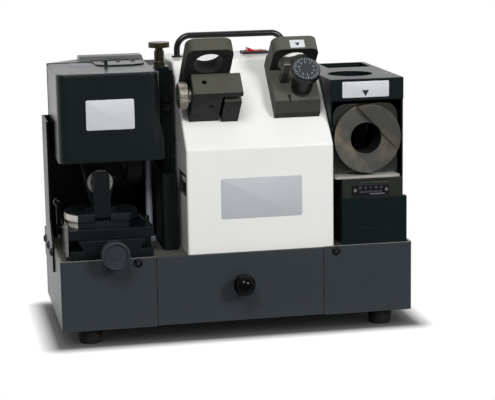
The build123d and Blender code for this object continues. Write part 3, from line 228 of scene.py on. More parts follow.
@dataclass(frozen=True)
class SprayedPaint(Finish):
    """Paint sprayed on sheet steel: soft clouds of tone, orange peel, and thin edges that show lighter."""

    colour: str
    deep: str
    edge: str
    rough: float
    gloss: float
    cloud_mm: float = 70.0
    peel_mm: float = 2.5
    peel_depth_mm: float = 0.02
    edge_mm: float = 0.6
    edge_share: float = 0.35
    wear_end: float = 0.8
    # Above this height the edge colour is painted on as a highlight
    highlight_above: float = 1000.0
    rim_mm: float = 0.2
    highlight_share: float = 0.85
    rough_range: Pair = (0.88, 1.12)

    def draw(self, tree: NodeTree) -> Feeds:
        """Draws clouds, peel, worn edges and, above a given height, a painted highlight over one paint.

        Args:
            tree: node tree of the material.

        Returns:
            What its shader gets.
        """
        add = partial(add_node, tree)
        where = add("TexCoord").outputs["Object"]
        clouds = add("TexNoise", {"Vector": where, "Scale": per_mm(self.cloud_mm), "Detail": 4.0})
        peel = add("TexNoise", {"Vector": where, "Scale": per_mm(self.peel_mm), "Detail": 2.0})
        tone = add("Mix", {0: clouds, 6: linear(self.colour), 7: linear(self.deep)}, data_type="RGBA")
        soft = relief(tree, peel, self.peel_depth_mm, self.edge_mm)
        worn = edge_wear(tree, soft, self.wear_end, self.edge_share)
        # Everything above this height gets the edge colour, a painted highlight along the top
        level = bench(0.0, 0.0, self.highlight_above).z
        height = add("SeparateXYZ", {0: where}).outputs["Z"]
        rim = add("MapRange", {0: height, 1: level - self.rim_mm * MM, 2: level, 3: 0.0, 4: self.highlight_share})
        bare = add("Math", {0: worn, 1: rim}, operation="MAXIMUM")
        skin = add("Mix", {0: bare, 6: tone.outputs[2], 7: linear(self.edge)}, data_type="RGBA")
        smooth, dull = (self.rough * share for share in self.rough_range)
        rough = add("MapRange", {0: clouds, 1: NOISE_LOW, 2: NOISE_HIGH, 3: smooth, 4: dull})
        return {
            "Base Color": skin.outputs[2], "Roughness": rough, "Normal": soft,
            "Specular IOR Level": self.gloss}


@dataclass(frozen=True)
class ShadedSidePaint(SprayedPaint):
    """Paint with painted shade: what faces away from one side is painted black."""

    side: Point = (-1.0, 0.0, 0.0)
    painted_shade_colour: str = "#040404"
    turn: Pair = (0.4, 0.6)

    def draw(self, tree: NodeTree) -> Feeds:
        """Draws the paint, with black painted shade on the faces that turn away.

        Args:
            tree: node tree of the material.

        Returns:
            What its shader gets.
        """
        flat = add_node(tree, "NewGeometry").outputs["Normal"]
        turned = add_node(tree, "VectorMath", {0: flat, 1: self.side}, operation="DOT_PRODUCT")
        away, full = self.turn
        share = add_node(tree, "MapRange", {0: turned.outputs["Value"], 1: away, 2: full})
        feeds = super().draw(tree)
        # Faces that turn away get black painted shade
        mixed = {0: share, 6: linear(self.painted_shade_colour), 7: feeds["Base Color"]}
        return feeds | {"Base Color": add_node(tree, "Mix", mixed, data_type="RGBA").outputs[2]}


@dataclass(frozen=True)
class GroundMetal(Finish):
    """Metal ground or brushed one way: lines along the stroke, drawn coarse to show, and slow blotches."""

    colour: str
    tint: str
    rough: float
    along: Axis
    line_mm: float = 1.2
    stroke_mm: float = 40.0
    blotch_mm: float = 18.0
    depth_mm: float = 0.006
    edge_mm: float = 0.2
    metal: float = 1.0
    stain: Pair = (0.42, 0.66)
    rough_range: Pair = (0.75, 1.25)

    def draw(self, tree: NodeTree) -> Feeds:
        """Draws the stroke lines and blotches on bare metal.

        Args:
            tree: node tree of the material.

        Returns:
            What its shader gets.
        """
        add = partial(add_node, tree)
        where = add("TexCoord").outputs["Object"]
        long, fine = per_mm(self.stroke_mm), per_mm(self.line_mm)
        scale = [long if axis is self.along else fine for axis in Axis]
        drawn = add("Mapping", {"Vector": where, "Scale": scale}, vector_type="POINT")
        lines = add("TexNoise", {"Vector": drawn, "Scale": 1.0, "Detail": 3.0, "Roughness": 0.6})
        blotch = add("TexNoise", {"Vector": where, "Scale": per_mm(self.blotch_mm), "Detail": 3.0})
        stain = add("MapRange", {0: blotch, 1: self.stain[0], 2: self.stain[1]})
        tone = add("Mix", {0: stain, 6: linear(self.colour), 7: linear(self.tint)}, data_type="RGBA")
        smooth, dull = (self.rough * share for share in self.rough_range)
        rough = add("MapRange", {0: lines, 1: NOISE_LOW, 2: NOISE_HIGH, 3: smooth, 4: dull})
        soft = relief(tree, lines, self.depth_mm, self.edge_mm)
        return {"Base Color": tone.outputs[2], "Metallic": self.metal, "Roughness": rough, "Normal": soft}


@dataclass(frozen=True)
class LitFlankMetal(GroundMetal):
    """Blacked steel whose round flank is painted bright on its left half alone, a painted highlight."""

    black: str = "#131A1C"
    ends_at: float = 58.0
    lean: Pair = (0.2, 0.4)
    front: Pair = (-0.99, -0.97)

    def draw(self, tree: NodeTree) -> Feeds:
        """Draws the painted highlight as ground metal, with black oxide on the top, the flat front and the
        right.

        Args:
            tree: node tree of the material.

        Returns:
            What its shader gets.
        """
        add = partial(add_node, tree)
        flat = add("SeparateXYZ", {0: add("NewGeometry").outputs["Normal"]}).outputs
        lean = add("Math", {0: flat["Z"]}, operation="ABSOLUTE")
        upright = add("MapRange", {0: lean, 1: self.lean[0], 2: self.lean[1], 3: 1.0, 4: 0.0})
        turned = add("MapRange", {0: flat["Y"], 1: self.front[0], 2: self.front[1]})
        where = add("SeparateXYZ", {0: add("TexCoord").outputs["Object"]}).outputs["X"]
        left = add("Math", {0: where, 1: bench(self.ends_at, 0.0, 0.0).x}, operation="LESS_THAN")
        # The upright left flank gets the painted highlight
        painted_lit_side = add("Math", {0: upright, 1: turned}, operation="MULTIPLY")
        share = add("Math", {0: painted_lit_side, 1: left}, operation="MULTIPLY")
        feeds = super().draw(tree)
        mixed = {0: share, 6: linear(self.black), 7: feeds["Base Color"]}
        return feeds | {"Base Color": add("Mix", mixed, data_type="RGBA").outputs[2]}


@dataclass(frozen=True)
class TurnedMetal(Finish):
    """Metal faced on a lathe: rings about its axis, drawn coarser than the tool left them, and heat tints."""

    colour: str
    tint: str
    rough: float
    about: Axis
    centre: Point
    ring_mm: float = 2.4
    blotch_mm: float = 24.0
    depth_mm: float = 0.002
    edge_mm: float = 0.4
    stain: Pair = (0.45, 0.68)
    rough_range: Pair = (0.9, 1.1)

    def draw(self, tree: NodeTree) -> Feeds:
        """Draws the turning rings round the piece's own axis.

        Args:
            tree: node tree of the material.

        Returns:
            What its shader gets.
        """
        add = partial(add_node, tree)
        where = add("TexCoord").outputs["Object"]
        shift = [-value for value in bench(*self.centre)]
        middle = add("Mapping", {"Vector": where, "Location": shift}, vector_type="POINT")
        rings = add("TexWave", {
            "Vector": middle, "Scale": per_mm(self.ring_mm) * WAVE_LENGTH, "Distortion": 1.5, "Detail": 3.0,
            "Detail Scale": 4.0}, wave_type="RINGS", rings_direction=self.about.value).outputs["Fac"]
        blotch = add("TexNoise", {"Vector": where, "Scale": per_mm(self.blotch_mm), "Detail": 3.0})
        stain = add("MapRange", {0: blotch, 1: self.stain[0], 2: self.stain[1]})
        tone = add("Mix", {0: stain, 6: linear(self.colour), 7: linear(self.tint)}, data_type="RGBA")
        smooth, dull = (self.rough * share for share in self.rough_range)
        rough = add("MapRange", {0: rings, 3: smooth, 4: dull})
        soft = relief(tree, rings, self.depth_mm, self.edge_mm)
        return {"Base Color": tone.outputs[2], "Metallic": 1.0, "Roughness": rough, "Normal": soft}


@dataclass(frozen=True)
class ConversionCoat(Finish):
    """Metal with a grainy skin, as coated, cast or satin plated.

    It has crystals, drawn coarse to show, mottling, rubbed edges, and dust that is also a painted sheen on
    upper sides.
    """

    colour: str
    mottle: str
    bare: str
    rough: float
    metal: float
    crystal_mm: float = 1.8
    crystal_depth_mm: float = 0.012
    mottle_mm: float = 14.0
    mottle_span: Pair = (0.35, 0.68)
    edge_mm: float = 0.7
    edge_share: float = 0.6
    wear_end: float = 0.75
    gloss: float = 0.5
    # On upper sides this colour is dust and a painted sheen in one
    dust: str = "#5C5C55"
    dust_share: float = 0.0
    dust_and_sheen_lean: Pair = (-0.3, 0.55)
    rough_range: Pair = (0.85, 1.15)

    def dust_and_sheen(self, tree: NodeTree, where: NodeSocket) -> Node:
        """Finds how much dust and painted sheen lie on the surface.

        Args:
            tree: node tree of the material.
            where: socket with the place on the surface.

        Returns:
            Node with the share of dust and painted sheen, full on upper sides and none on lower ones.
        """
        flat = add_node(tree, "NewGeometry").outputs["Normal"]
        rise = add_node(tree, "SeparateXYZ", {0: flat}).outputs["Z"]
        none, full = self.dust_and_sheen_lean
        return add_node(tree, "MapRange", {0: rise, 1: none, 2: full, 3: 0.0, 4: self.dust_share})

    def draw(self, tree: NodeTree) -> Feeds:
        """Draws crystals, mottling, rubbed edges, and the dust with its painted sheen on upper sides.

        Args:
            tree: node tree of the material.

        Returns:
            What its shader gets.
        """
        add = partial(add_node, tree)
        where = add("TexCoord").outputs["Object"]
        mottle = add("TexNoise", {"Vector": where, "Scale": per_mm(self.mottle_mm), "Detail": 4.0})
        crystal = add("TexVoronoi", {"Vector": where, "Scale": per_mm(self.crystal_mm)})
        patch = add("MapRange", {0: mottle, 1: self.mottle_span[0], 2: self.mottle_span[1]})
        coat = add("Mix", {0: patch, 6: linear(self.colour), 7: linear(self.mottle)}, data_type="RGBA")
        # Upper sides get dust and a painted sheen
        dust_and_sheen_share = self.dust_and_sheen(tree, where)
        tone = add("Mix", {0: dust_and_sheen_share, 6: coat.outputs[2], 7: linear(self.dust)}, data_type="RGBA")
        soft = relief(tree, crystal, self.crystal_depth_mm, self.edge_mm)
        rub = edge_wear(tree, soft, self.wear_end, self.edge_share)
        skin = add("Mix", {0: rub, 6: tone.outputs[2], 7: linear(self.bare)}, data_type="RGBA")
        smooth, dull = (self.rough * share for share in self.rough_range)
        rough = add("MapRange", {0: mottle, 1: NOISE_LOW, 2: NOISE_HIGH, 3: smooth, 4: dull})
        return {
            "Base Color": skin.outputs[2], "Metallic": self.metal, "Roughness": rough, "Normal": soft,
            "Specular IOR Level": self.gloss}


@dataclass(frozen=True)
class BoredCoat(ConversionCoat):
    """The same skin on a block with a bore: dust and painted sheen lie outside the bore alone."""

    middle: Point = (0.0, 0.0, 0.0)
    along: Point = (0.0, 0.0, 1.0)
    radius: float = 1.0

    def dust_and_sheen(self, tree: NodeTree, where: NodeSocket) -> Node:
        """Finds how much dust and painted sheen lie on the surface.

        Args:
            tree: node tree of the material.
            where: socket with the place on the surface.

        Returns:
            Node with the share of dust and painted sheen, none inside the bore.
        """
        add = partial(add_node, tree)
        away = add("VectorMath", {0: where, 1: bench(*self.middle)}, operation="SUBTRACT")
        arm = add("VectorMath", {0: away, 1: self.along}, operation="CROSS_PRODUCT")
        reach = add("VectorMath", {0: arm}, operation="LENGTH").outputs["Value"]
        outside = add("Math", {0: reach, 1: self.radius * MM}, operation="GREATER_THAN")
        return add("Math", {0: super().dust_and_sheen(tree, where), 1: outside}, operation="MULTIPLY")


@dataclass(frozen=True)
class PlatedMetal(Finish):
    """Polished or plated metal: nearly a mirror, with faint wipe marks."""

    colour: str
    rough: float
    smear_mm: float = 9.0
    smear_span: Pair = (0.3, 0.72)
    edge_mm: float = 0.4
    rough_range: Pair = (0.8, 1.35)

    def draw(self, tree: NodeTree) -> Feeds:
        """Draws a bright plate with wipe marks in its gloss.

        Args:
            tree: node tree of the material.

        Returns:
            What its shader gets.
        """
        add = partial(add_node, tree)
        where = add("TexCoord").outputs["Object"]
        smear = add("TexNoise", {
            "Vector": where, "Scale": per_mm(self.smear_mm), "Detail": 5.0, "Distortion": 0.6})
        smooth, dull = (self.rough * share for share in self.rough_range)
        rough = add("MapRange", {0: smear, 1: self.smear_span[0], 2: self.smear_span[1], 3: smooth, 4: dull})
        soft = add("Bevel", {"Radius": self.edge_mm * MM}, samples=EDGE_RAYS)
        return {"Base Color": linear(self.colour), "Metallic": 1.0, "Roughness": rough, "Normal": soft}


@dataclass(frozen=True)
class Moulding(Finish):
    """Moulded plastic or rubber: even colour, a mould grain drawn coarse to show, and dust that dulls it."""

    colour: str
    dust: str
    rough: float
    gloss: float
    grain_mm: float = 1.6
    grain_depth_mm: float = 0.01
    edge_mm: float = 0.5
    dust_mm: float = 12.0
    dust_share: float = 0.12
    dust_span: Pair = (0.45, 0.75)
    dull_span: Pair = (0.35, 0.75)
    rough_range: Pair = (0.9, 1.3)

    def draw(self, tree: NodeTree) -> Feeds:
        """Draws grain and dust over one moulded colour.

        Args:
            tree: node tree of the material.

        Returns:
            What its shader gets.
        """
        add = partial(add_node, tree)
        where = add("TexCoord").outputs["Object"]
        grain = add("TexNoise", {"Vector": where, "Scale": per_mm(self.grain_mm), "Detail": 2.0})
        dust = add("TexNoise", {"Vector": where, "Scale": per_mm(self.dust_mm), "Detail": 5.0})
        thin, thick = self.dust_span
        share = add("MapRange", {0: dust, 1: thin, 2: thick, 3: 0.0, 4: self.dust_share})
        tone = add("Mix", {0: share, 6: linear(self.colour), 7: linear(self.dust)}, data_type="RGBA")
        smooth, dull = (self.rough * part for part in self.rough_range)
        rough = add("MapRange", {0: dust, 1: self.dull_span[0], 2: self.dull_span[1], 3: smooth, 4: dull})
        soft = relief(tree, grain, self.grain_depth_mm, self.edge_mm)
        return {
            "Base Color": tone.outputs[2], "Roughness": rough, "Normal": soft,
            "Specular IOR Level": self.gloss}


@dataclass(frozen=True)
class BondedGrit(Finish):
    """Grinding wheel rim: grit in a dark bond, drawn coarse to show, pitted and without gloss."""

    bond: str
    grit: str
    grit_mm: float = 1.4
    grit_span: Pair = (0.2, 0.55)
    pit_mm: float = 0.12
    rough: float = 0.85

    def draw(self, tree: NodeTree) -> Feeds:
        """Draws grit cells in their bond.

        Args:
            tree: node tree of the material.

        Returns:
            What its shader gets.
        """
        add = partial(add_node, tree)
        where = add("TexCoord").outputs["Object"]
        cells = add("TexVoronoi", {"Vector": where, "Scale": per_mm(self.grit_mm)}).outputs["Distance"]
        share = add("MapRange", {0: cells, 1: self.grit_span[0], 2: self.grit_span[1]})
        tone = add("Mix", {0: share, 6: linear(self.grit), 7: linear(self.bond)}, data_type="RGBA")
        pits = add("Bump", {"Strength": 1.0, "Distance": self.pit_mm * MM, "Height": cells}, invert=True)
        return {"Base Color": tone.outputs[2], "Roughness": self.rough, "Normal": pits}


@dataclass(frozen=True)
class ZincSheet(Finish):
    """Zinc plated sheet: flat crystals of slightly different grey."""

    colour: str
    dull: str
    rough: float
    spangle_mm: float = 7.0
    rough_range: Pair = (0.8, 1.25)

    def draw(self, tree: NodeTree) -> Feeds:
        """Draws the spangle of zinc crystals.

        Args:
            tree: node tree of the material.

        Returns:
            What its shader gets.
        """
        add = partial(add_node, tree)
        where = add("TexCoord").outputs["Object"]
        cells = add("TexVoronoi", {"Vector": where, "Scale": per_mm(self.spangle_mm)})
        shade = add("SeparateColor", {0: cells.outputs["Color"]})
        tone = add("Mix", {0: shade, 6: linear(self.colour), 7: linear(self.dull)}, data_type="RGBA")
        smooth, dull = (self.rough * share for share in self.rough_range)
        rough = add("MapRange", {0: shade.outputs[1], 3: smooth, 4: dull})
        return {"Base Color": tone.outputs[2], "Metallic": 1.0, "Roughness": rough}


@dataclass(frozen=True)
class PrintFilm(Finish):
    """Printed film or ink: one even colour, a little uneven in gloss, slightly soiled."""

    colour: str
    soil: str
    rough: float
    metal: float = 0.0
    soil_mm: float = 16.0
    soil_share: float = 0.25
    soil_span: Pair = (0.4, 0.75)
    rough_range: Pair = (0.85, 1.15)

    def draw(self, tree: NodeTree) -> Feeds:
        """Draws a film with faint soiling.

        Args:
            tree: node tree of the material.

        Returns:
            What its shader gets.
        """
        add = partial(add_node, tree)
        where = add("TexCoord").outputs["Object"]
        soil = add("TexNoise", {"Vector": where, "Scale": per_mm(self.soil_mm), "Detail": 4.0})
        clean, full = self.soil_span
        share = add("MapRange", {0: soil, 1: clean, 2: full, 3: 0.0, 4: self.soil_share})
        tone = add("Mix", {0: share, 6: linear(self.colour), 7: linear(self.soil)}, data_type="RGBA")
        smooth, dull = (self.rough * part for part in self.rough_range)
        rough = add("MapRange", {0: soil, 1: NOISE_LOW, 2: NOISE_HIGH, 3: smooth, 4: dull})
        return {"Base Color": tone.outputs[2], "Metallic": self.metal, "Roughness": rough}


# Stoved white enamel on the motor cover: sprayed and baked, smooth and glossy, faintly warm
WHITE_ENAMEL = SprayedPaint(
    "white_stoved_enamel", "#F0F1ED", "#E9EAE6", "#F5F5F2", 0.22, 0.5, peel_depth_mm=0.008, edge_share=0.2)
# Slate powder on the base and drawer front: satin, thin on the edges, a painted highlight along the top
SLATE_POWDER = SprayedPaint(
    "slate_powder_coat", "#343A3F", "#2F353A", "#8E8C84", 0.36, 0.32, edge_share=0.3, highlight_above=98.9)
# Green-black powder coat on the hood, its housing and its hinge: nearly black, satin, with broad soft edges
HOOD_POWDER = SprayedPaint(
    "green_black_powder_coat", "#0C1718", "#091213", "#30383A", 0.3, 0.34, edge_mm=2.5, edge_share=0.1)
# A duller coat of the same powder on the right column, its top and its lower cover
COLUMN_POWDER = SprayedPaint(
    "dull_green_black_powder_coat", "#0B191A", "#091415", "#2A3234", 0.34, 0.18, edge_share=0.1)
# Slate powder on the left guard, with painted shade: its inner side is painted black
GUARD_POWDER = ShadedSidePaint(
    "slate_powder_painted_shade_inside", "#2E3439", "#293035", "#5C5E60", 0.36, 0.21, edge_share=0.2)
# Thin black powder coat on the inner column: flat, a shade green
BLACK_POWDER = SprayedPaint(
    "thin_black_powder_coat", "#111717", "#0C1111", "#1C2222", 0.55, 0.12, edge_share=0.0)
# Black lacquer on the handle, the scale plate, the base's rear screws and the leaf screws: deep black
BLACK_LACQUER = SprayedPaint("black_lacquer", "#0B0A0B", "#080808", "#2A2829", 0.24, 0.45, edge_share=0.15)
# Phenolic knobs: pressed in a polished mould, hard gloss black with small sharp highlights
BLACK_PHENOLIC = Moulding("black_phenolic", "#040405", "#0B0B0D", 0.1, 0.12, grain_depth_mm=0.001)
# Turned slate nylon of the feed knob: blue-grey with a dull satin face
SLATE_NYLON = Moulding("slate_nylon", "#2A2F37", "#3A4049", 0.4, 0.4)
# Black acetal of the gauge dial: satin, painted deep black so that its skirt shows painted shade
SHADED_ACETAL = Moulding("black_acetal_painted_shade", "#060607", "#131315", 0.36, 0.3)
# Black nylon fittings: the switch frame and the cable gland, moulded and matt
MATT_NYLON = Moulding("matt_black_nylon", "#121213", "#2A2A2C", 0.5, 0.35)
# Red polycarbonate rocker: clear red, glossy
RED_ROCKER = Moulding("red_polycarbonate", "#B0101C", "#8A0C16", 0.2, 0.5, grain_depth_mm=0.002)
# Nitrile rubber feet: matt black with a dusty bloom
FOOT_RUBBER = Moulding("nitrile_rubber", "#0C0C0D", "#2C2C2C", 0.7, 0.3, dust_share=0.3)
# Phosphated steel of the drill gauge and the deck: near black, rubbed edges, olive dust and a painted sheen
# on upper sides
PHOSPHATE_STEEL = ConversionCoat(
    "oiled_phosphate_steel", "#2A2C2B", "#212322", "#77766D", 0.5, 0.0, edge_share=0.3, gloss=0.12,
    dust="#5B5B54", dust_share=0.92)
# The same steel of the end mill gauge: its dust and painted sheen a shade darker, and none inside its bore
BORED_PHOSPHATE = BoredCoat(
    "oiled_phosphate_steel_clear_bore", "#2A2C2B", "#212322", "#77766D", 0.5, 0.0, edge_share=0.3, gloss=0.12,
    dust="#525249", dust_share=0.92, dust_and_sheen_lean=(0.2, 0.68), middle=(187.0, -45.1, 278.3),
    along=(0.0, 0.6885, 0.7252), radius=18.3)
# Blackened steel of the slide, its lock, the tool holder and the stop arm: bluer than the gauges
BLACKED_STEEL = ConversionCoat("blacked_steel", "#151C1F", "#0E1416", "#50575A", 0.38, 0.55)
# Oiled dark steel of the angle block and pedestal: green-grey skin, rubbed lighter along its edges
OILED_STEEL = ConversionCoat("oiled_dark_steel", "#30342F", "#262A27", "#7E7D73", 0.36, 0.5, edge_share=0.45)
# Machined steel of the gauge pins: grey and a little stained
MILLED_STEEL = GroundMetal("milled_steel", "#6E6C66", "#565650", 0.4, Axis.X, line_mm=1.4, stroke_mm=30.0)
# Faced steel of the drill cam: turning rings about the bore and straw heat tints
CAM_STEEL = TurnedMetal("faced_cam_steel", "#72746F", "#9A8D7B", 0.36, Axis.Y, (388.5, 20.0, 229.0))
# Bright ground steel of shafts, pins, bright screws, the tool sleeve and the lock's spring: a soft sheen
BRIGHT_STEEL = GroundMetal(
    "bright_ground_steel", "#CFCFCB", "#BDBDB9", 0.26, Axis.X, line_mm=1.0, stroke_mm=50.0)
# Ground swivel plate under the angle head: pale edge that catches the front light
PLATE_STEEL = GroundMetal("ground_swivel_plate", "#BDBAB2", "#A8A59C", 0.34, Axis.X, metal=0.4)
# Swivel table and ring: black oxide, with a painted highlight on the left of the round flank
LIT_FLANK_STEEL = LitFlankMetal("blacked_steel_painted_lit_flank", "#ECE9E0", "#DEDACF", 0.34, Axis.Z, metal=0.2)
# Satin chrome on the guide post: its pale, cool colour is a painted reflection, a broad sheen in place of a
# mirror
PALE_SHEEN_CHROME = ConversionCoat("satin_chrome_painted_reflection", "#E4E6F6", "#D8DAEC", "#F0F2FA", 0.45, 0.4, edge_share=0.1)
# Polished side plate of the slide: bright, stroked along its length
SIDE_STEEL = GroundMetal(
    "polished_side_plate", "#D6D6D2", "#C6C6C2", 0.16, Axis.Y, line_mm=1.6, stroke_mm=60.0, depth_mm=0.002)
# Black nickel on the button screws: dark mirror with small sharp glints
BLACK_NICKEL = PlatedMetal("black_nickel", "#323337", 0.18)
# Nickel plated thumb nut: warm, soft mirror
NICKEL = PlatedMetal("satin_nickel", "#A09A8E", 0.36)
# Bearing bronze of the feed nut and gib: ground, warm
BEARING_BRONZE = GroundMetal("bearing_bronze", "#B08A54", "#96733F", 0.34, Axis.Y)
# Browned bronze of the hood lock: dark, oily, rubbed lighter on its rims
BROWNED_BRONZE = ConversionCoat("browned_bronze", "#4F4A3A", "#3B3729", "#9A927A", 0.32, 0.9, mottle_mm=8.0)
# Sand-cast aluminium of the motor shell and wheel hubs: pale grey and grainy
CAST_ALUMINIUM = ConversionCoat(
    "cast_aluminium", "#A5A7A8", "#8F9293", "#C8C9CA", 0.5, 0.9, crystal_mm=2.4)
# Zinc plated steel of the drawer, its rails, the motor cradle and the wheel clamps: a grey spangle
ZINC_SHEET = ZincSheet("zinc_plated_sheet", "#AEB2B6", "#8E9296", 0.38)
# Bonded grit of the grinding wheels: dark, pitted, dull
WHEEL_GRIT = BondedGrit("bonded_grit", "#181715", "#2B2825")
# White vinyl film of the blank labels: smooth, faintly blue
WHITE_VINYL = PrintFilm("white_vinyl_film", "#D3D6D9", "#BFC2C6", 0.34)
# Grey film on top of the hood, and of the strip under the swivel scale
GREY_VINYL = PrintFilm("pale_grey_film", "#6C6E7A", "#62646E", 0.4)
# Anodised aluminium plate on the cover: even silver grey, satin
SILVER_PLATE = PrintFilm("anodised_aluminium_plate", "#BFC3C8", "#B4B8BE", 0.36)
# Black vinyl film on the cover's side
BLACK_VINYL = PrintFilm("black_vinyl_film", "#141416", "#26262A", 0.38)
# Screen-printed white of the switch marks
WHITE_INK = PrintFilm("white_screen_ink", "#C8CCCE", "#9EA4A8", 0.5)
# Slate disc printed on the dial's face
SLATE_DISC = PrintFilm("slate_printed_disc", "#1D2024", "#262A2E", 0.45)
# Pale blue-grey ink of the dial
DIAL_INK = PrintFilm("pale_blue_grey_ink", "#A9B3BB", "#8C969E", 0.5)
# Blue-grey ink of the swivel scale, rubbed faint
FAINT_INK = PrintFilm("rubbed_blue_grey_ink", "#66707C", "#4A525C", 0.5)
# Black ink of ticks, pointers and the index, and the shade inside screw slots and sockets
BLACK_INK_AND_SHADE = PrintFilm("black_ink_and_painted_shade", "#0C0C0D", "#1A1A1C", 0.6)


def dress(finish: Finish, *nodes: str) -> None:
    """Gives CAD nodes their finish.

    Args:
        finish: what their surface is.
        nodes: names of the nodes.
    """
    for name in nodes:
        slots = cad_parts[name].data.materials
        slots.clear()
        slots.append(material_of(finish))


@dataclass(frozen=True)
class Plate:
    """A blank plate, label or film: its middle and sizes, in millimetres."""

    middle: Point
    width: float
    height: float
    thick: float
    corner: float


@dataclass(frozen=True)
class PanHead:
    """A slotted pan-head screw: sizes of its head and slot, in millimetres."""

    radius: float
    height: float
    slot_length: float
    slot_width: float


class Piece:
    """A new mesh that is drawn in metres and becomes one piece of the machine."""

    # Steps round a plate's corner, a screw head, a wire and one turn of a coil
    corner_steps: int = 6
    head_steps: int = 20
    wire_sides: int = 10
    coil_steps: int = 24
    # Half the outline of a screw head: shares of its radius and of its height
    head_outline: tuple[Pair, ...] = ((1.0, 0.0), (1.0, 0.35), (0.85, 0.75), (0.5, 1.0), (0.0, 1.0))
    # Broken top edge: its most in millimetres, and its share of a thin plate
    edge_break: float = 0.3
    edge_break_share: float = 0.4
    # Letters: their font size against their height, and half their thickness in millimetres
    letter_size: float = 1.4
    letter_depth: float = 0.04
    # Points this many metres apart become one, and edges that bend by more degrees stay sharp
    merge_distance: float = 1e-7
    crease: float = 35.0

    def __init__(self, name: str) -> None:
        """Starts an empty mesh under the piece's name."""
        self.name = name
        self.mesh = bmesh.new()

    def settle(self, before: set[BMVert], place: Matrix) -> None:
        """Moves the vertices that were added since before from their own axes to their place."""
        bmesh.ops.transform(self.mesh, matrix=place, verts=[v for v in self.mesh.verts if v not in before])

    def raise_faces(self, faces: list[BMFace], by: Vector | Point) -> list:
        """Makes a thin body from its underside.

        Args:
            faces: the underside, which stays.
            by: from the underside to the top.

        Returns:
            What the extrusion added.
        """
        lifted = bmesh.ops.extrude_face_region(self.mesh, geom=faces, use_keep_orig=True)["geom"]
        bmesh.ops.translate(self.mesh, vec=by, verts=only(BMVert, lifted))
        return lifted

    def plate(self, place: Matrix, plate: Plate) -> None:
        """Adds a thin plate with rounded corners and a broken top edge.

        Args:
            place: where its underside lies, face up.
            plate: its sizes.
        """
        before = set(self.mesh.verts)
        made = bmesh.ops.create_grid(self.mesh, x_segments=1, y_segments=1, size=0.5)["verts"]
        bmesh.ops.scale(self.mesh, vec=(plate.width * MM, plate.height * MM, 1.0), verts=made)
        bmesh.ops.bevel(
            self.mesh, geom=made, offset=plate.corner * MM, affect="VERTICES", segments=self.corner_steps,
            profile=0.5, material=-1)
        under = [f for f in self.mesh.faces if not before.intersection(f.verts)]
        lifted = self.raise_faces(under, (0, 0, plate.thick * MM))
        rim = list({e for f in only(BMFace, lifted) for e in f.edges})
        broken = min(plate.thick * self.edge_break_share, self.edge_break)
        bmesh.ops.bevel(
            self.mesh, geom=rim, offset=broken * MM, affect="EDGES", segments=2, profile=0.5, material=-1)
        self.settle(before, place)

    def bar(self, place: Matrix, length: float, width: float, thick: float = MARK) -> None:
        """Adds one printed or cut mark.

        Args:
            place: its middle on the surface, face up.
            length: size along its own x, in millimetres.
            width: size along its own y.
            thick: how far it stands through the surface, half above it.
        """
        before = set(self.mesh.verts)
        made = bmesh.ops.create_cube(self.mesh, size=1.0)["verts"]
        bmesh.ops.scale(self.mesh, vec=(length * MM, width * MM, thick * MM), verts=made)
        self.settle(before, place)

    def prism(self, place: Matrix, sides: int, radius: float, thick: float, turn: float = 0.0) -> None:
        """Adds a low prism, such as the painted shade of a hexagon socket, a disc or a pointer.

        Args:
            place: its middle on the surface, face up.
            sides: number of sides.
            radius: corner radius, in millimetres.
            thick: height above the surface.
            turn: angle of its first corner, in degrees.
        """
        before = set(self.mesh.verts)
        made = bmesh.ops.create_circle(self.mesh, cap_ends=True, segments=sides, radius=radius * MM)["verts"]
        bmesh.ops.rotate(self.mesh, matrix=Matrix.Rotation(math.radians(turn), 3, "Z"), verts=made)
        self.raise_faces(list({f for v in made for f in v.link_faces}), (0, 0, thick * MM))
        self.settle(before, place)

    def dome(self, place: Matrix, radius: float, height: float) -> None:
        """Adds a pan-head screw, spun from half its outline.

        Args:
            place: the middle of its seat, head up.
            radius: radius of the head, in millimetres.
            height: height of the head.
        """
        before = set(self.mesh.verts)
        verts = [self.mesh.verts.new((r * radius * MM, 0.0, h * height * MM)) for r, h in self.head_outline]
        edges = [self.mesh.edges.new(pair) for pair in zip(verts, verts[1:])]
        bmesh.ops.spin(
            self.mesh, geom=verts + edges, cent=(0, 0, 0), axis=(0, 0, 1), angle=math.tau,
            steps=self.head_steps, use_merge=True)
        self.settle(before, place)

    def knurl(self, place: Matrix, radius: float, height: float, teeth: int, depth: float) -> None:
        """Adds a straight-knurled band round a grip.

        Args:
            place: the middle of its lower end, axis up.
            radius: radius of the grip under it, in millimetres.
            height: height of the band.
            teeth: number of ridges.
            depth: how far the ridges stand above the grip.
        """
        before = set(self.mesh.verts)
        verts = bmesh.ops.create_circle(
            self.mesh, cap_ends=False, segments=2 * teeth, radius=(radius - depth) * MM)["verts"]
        share = (radius + depth) / (radius - depth)
        bmesh.ops.scale(self.mesh, vec=(share, share, 1.0), verts=verts[::2])
        edges = list({e for v in verts for e in v.link_edges})
        lifted = bmesh.ops.extrude_edge_only(self.mesh, edges=edges)["geom"]
        top = only(BMVert, lifted)
        bmesh.ops.translate(self.mesh, vec=(0, 0, height * MM), verts=top)
        inner = (radius - 2 * depth) / radius
        for rim in ([e for e in only(BMEdge, lifted) if all(v in top for v in e.verts)], edges):
            lip = bmesh.ops.extrude_edge_only(self.mesh, edges=rim)["geom"]
            bmesh.ops.scale(self.mesh, vec=(inner, inner, 1.0), verts=only(BMVert, lip))
        self.settle(before, place)

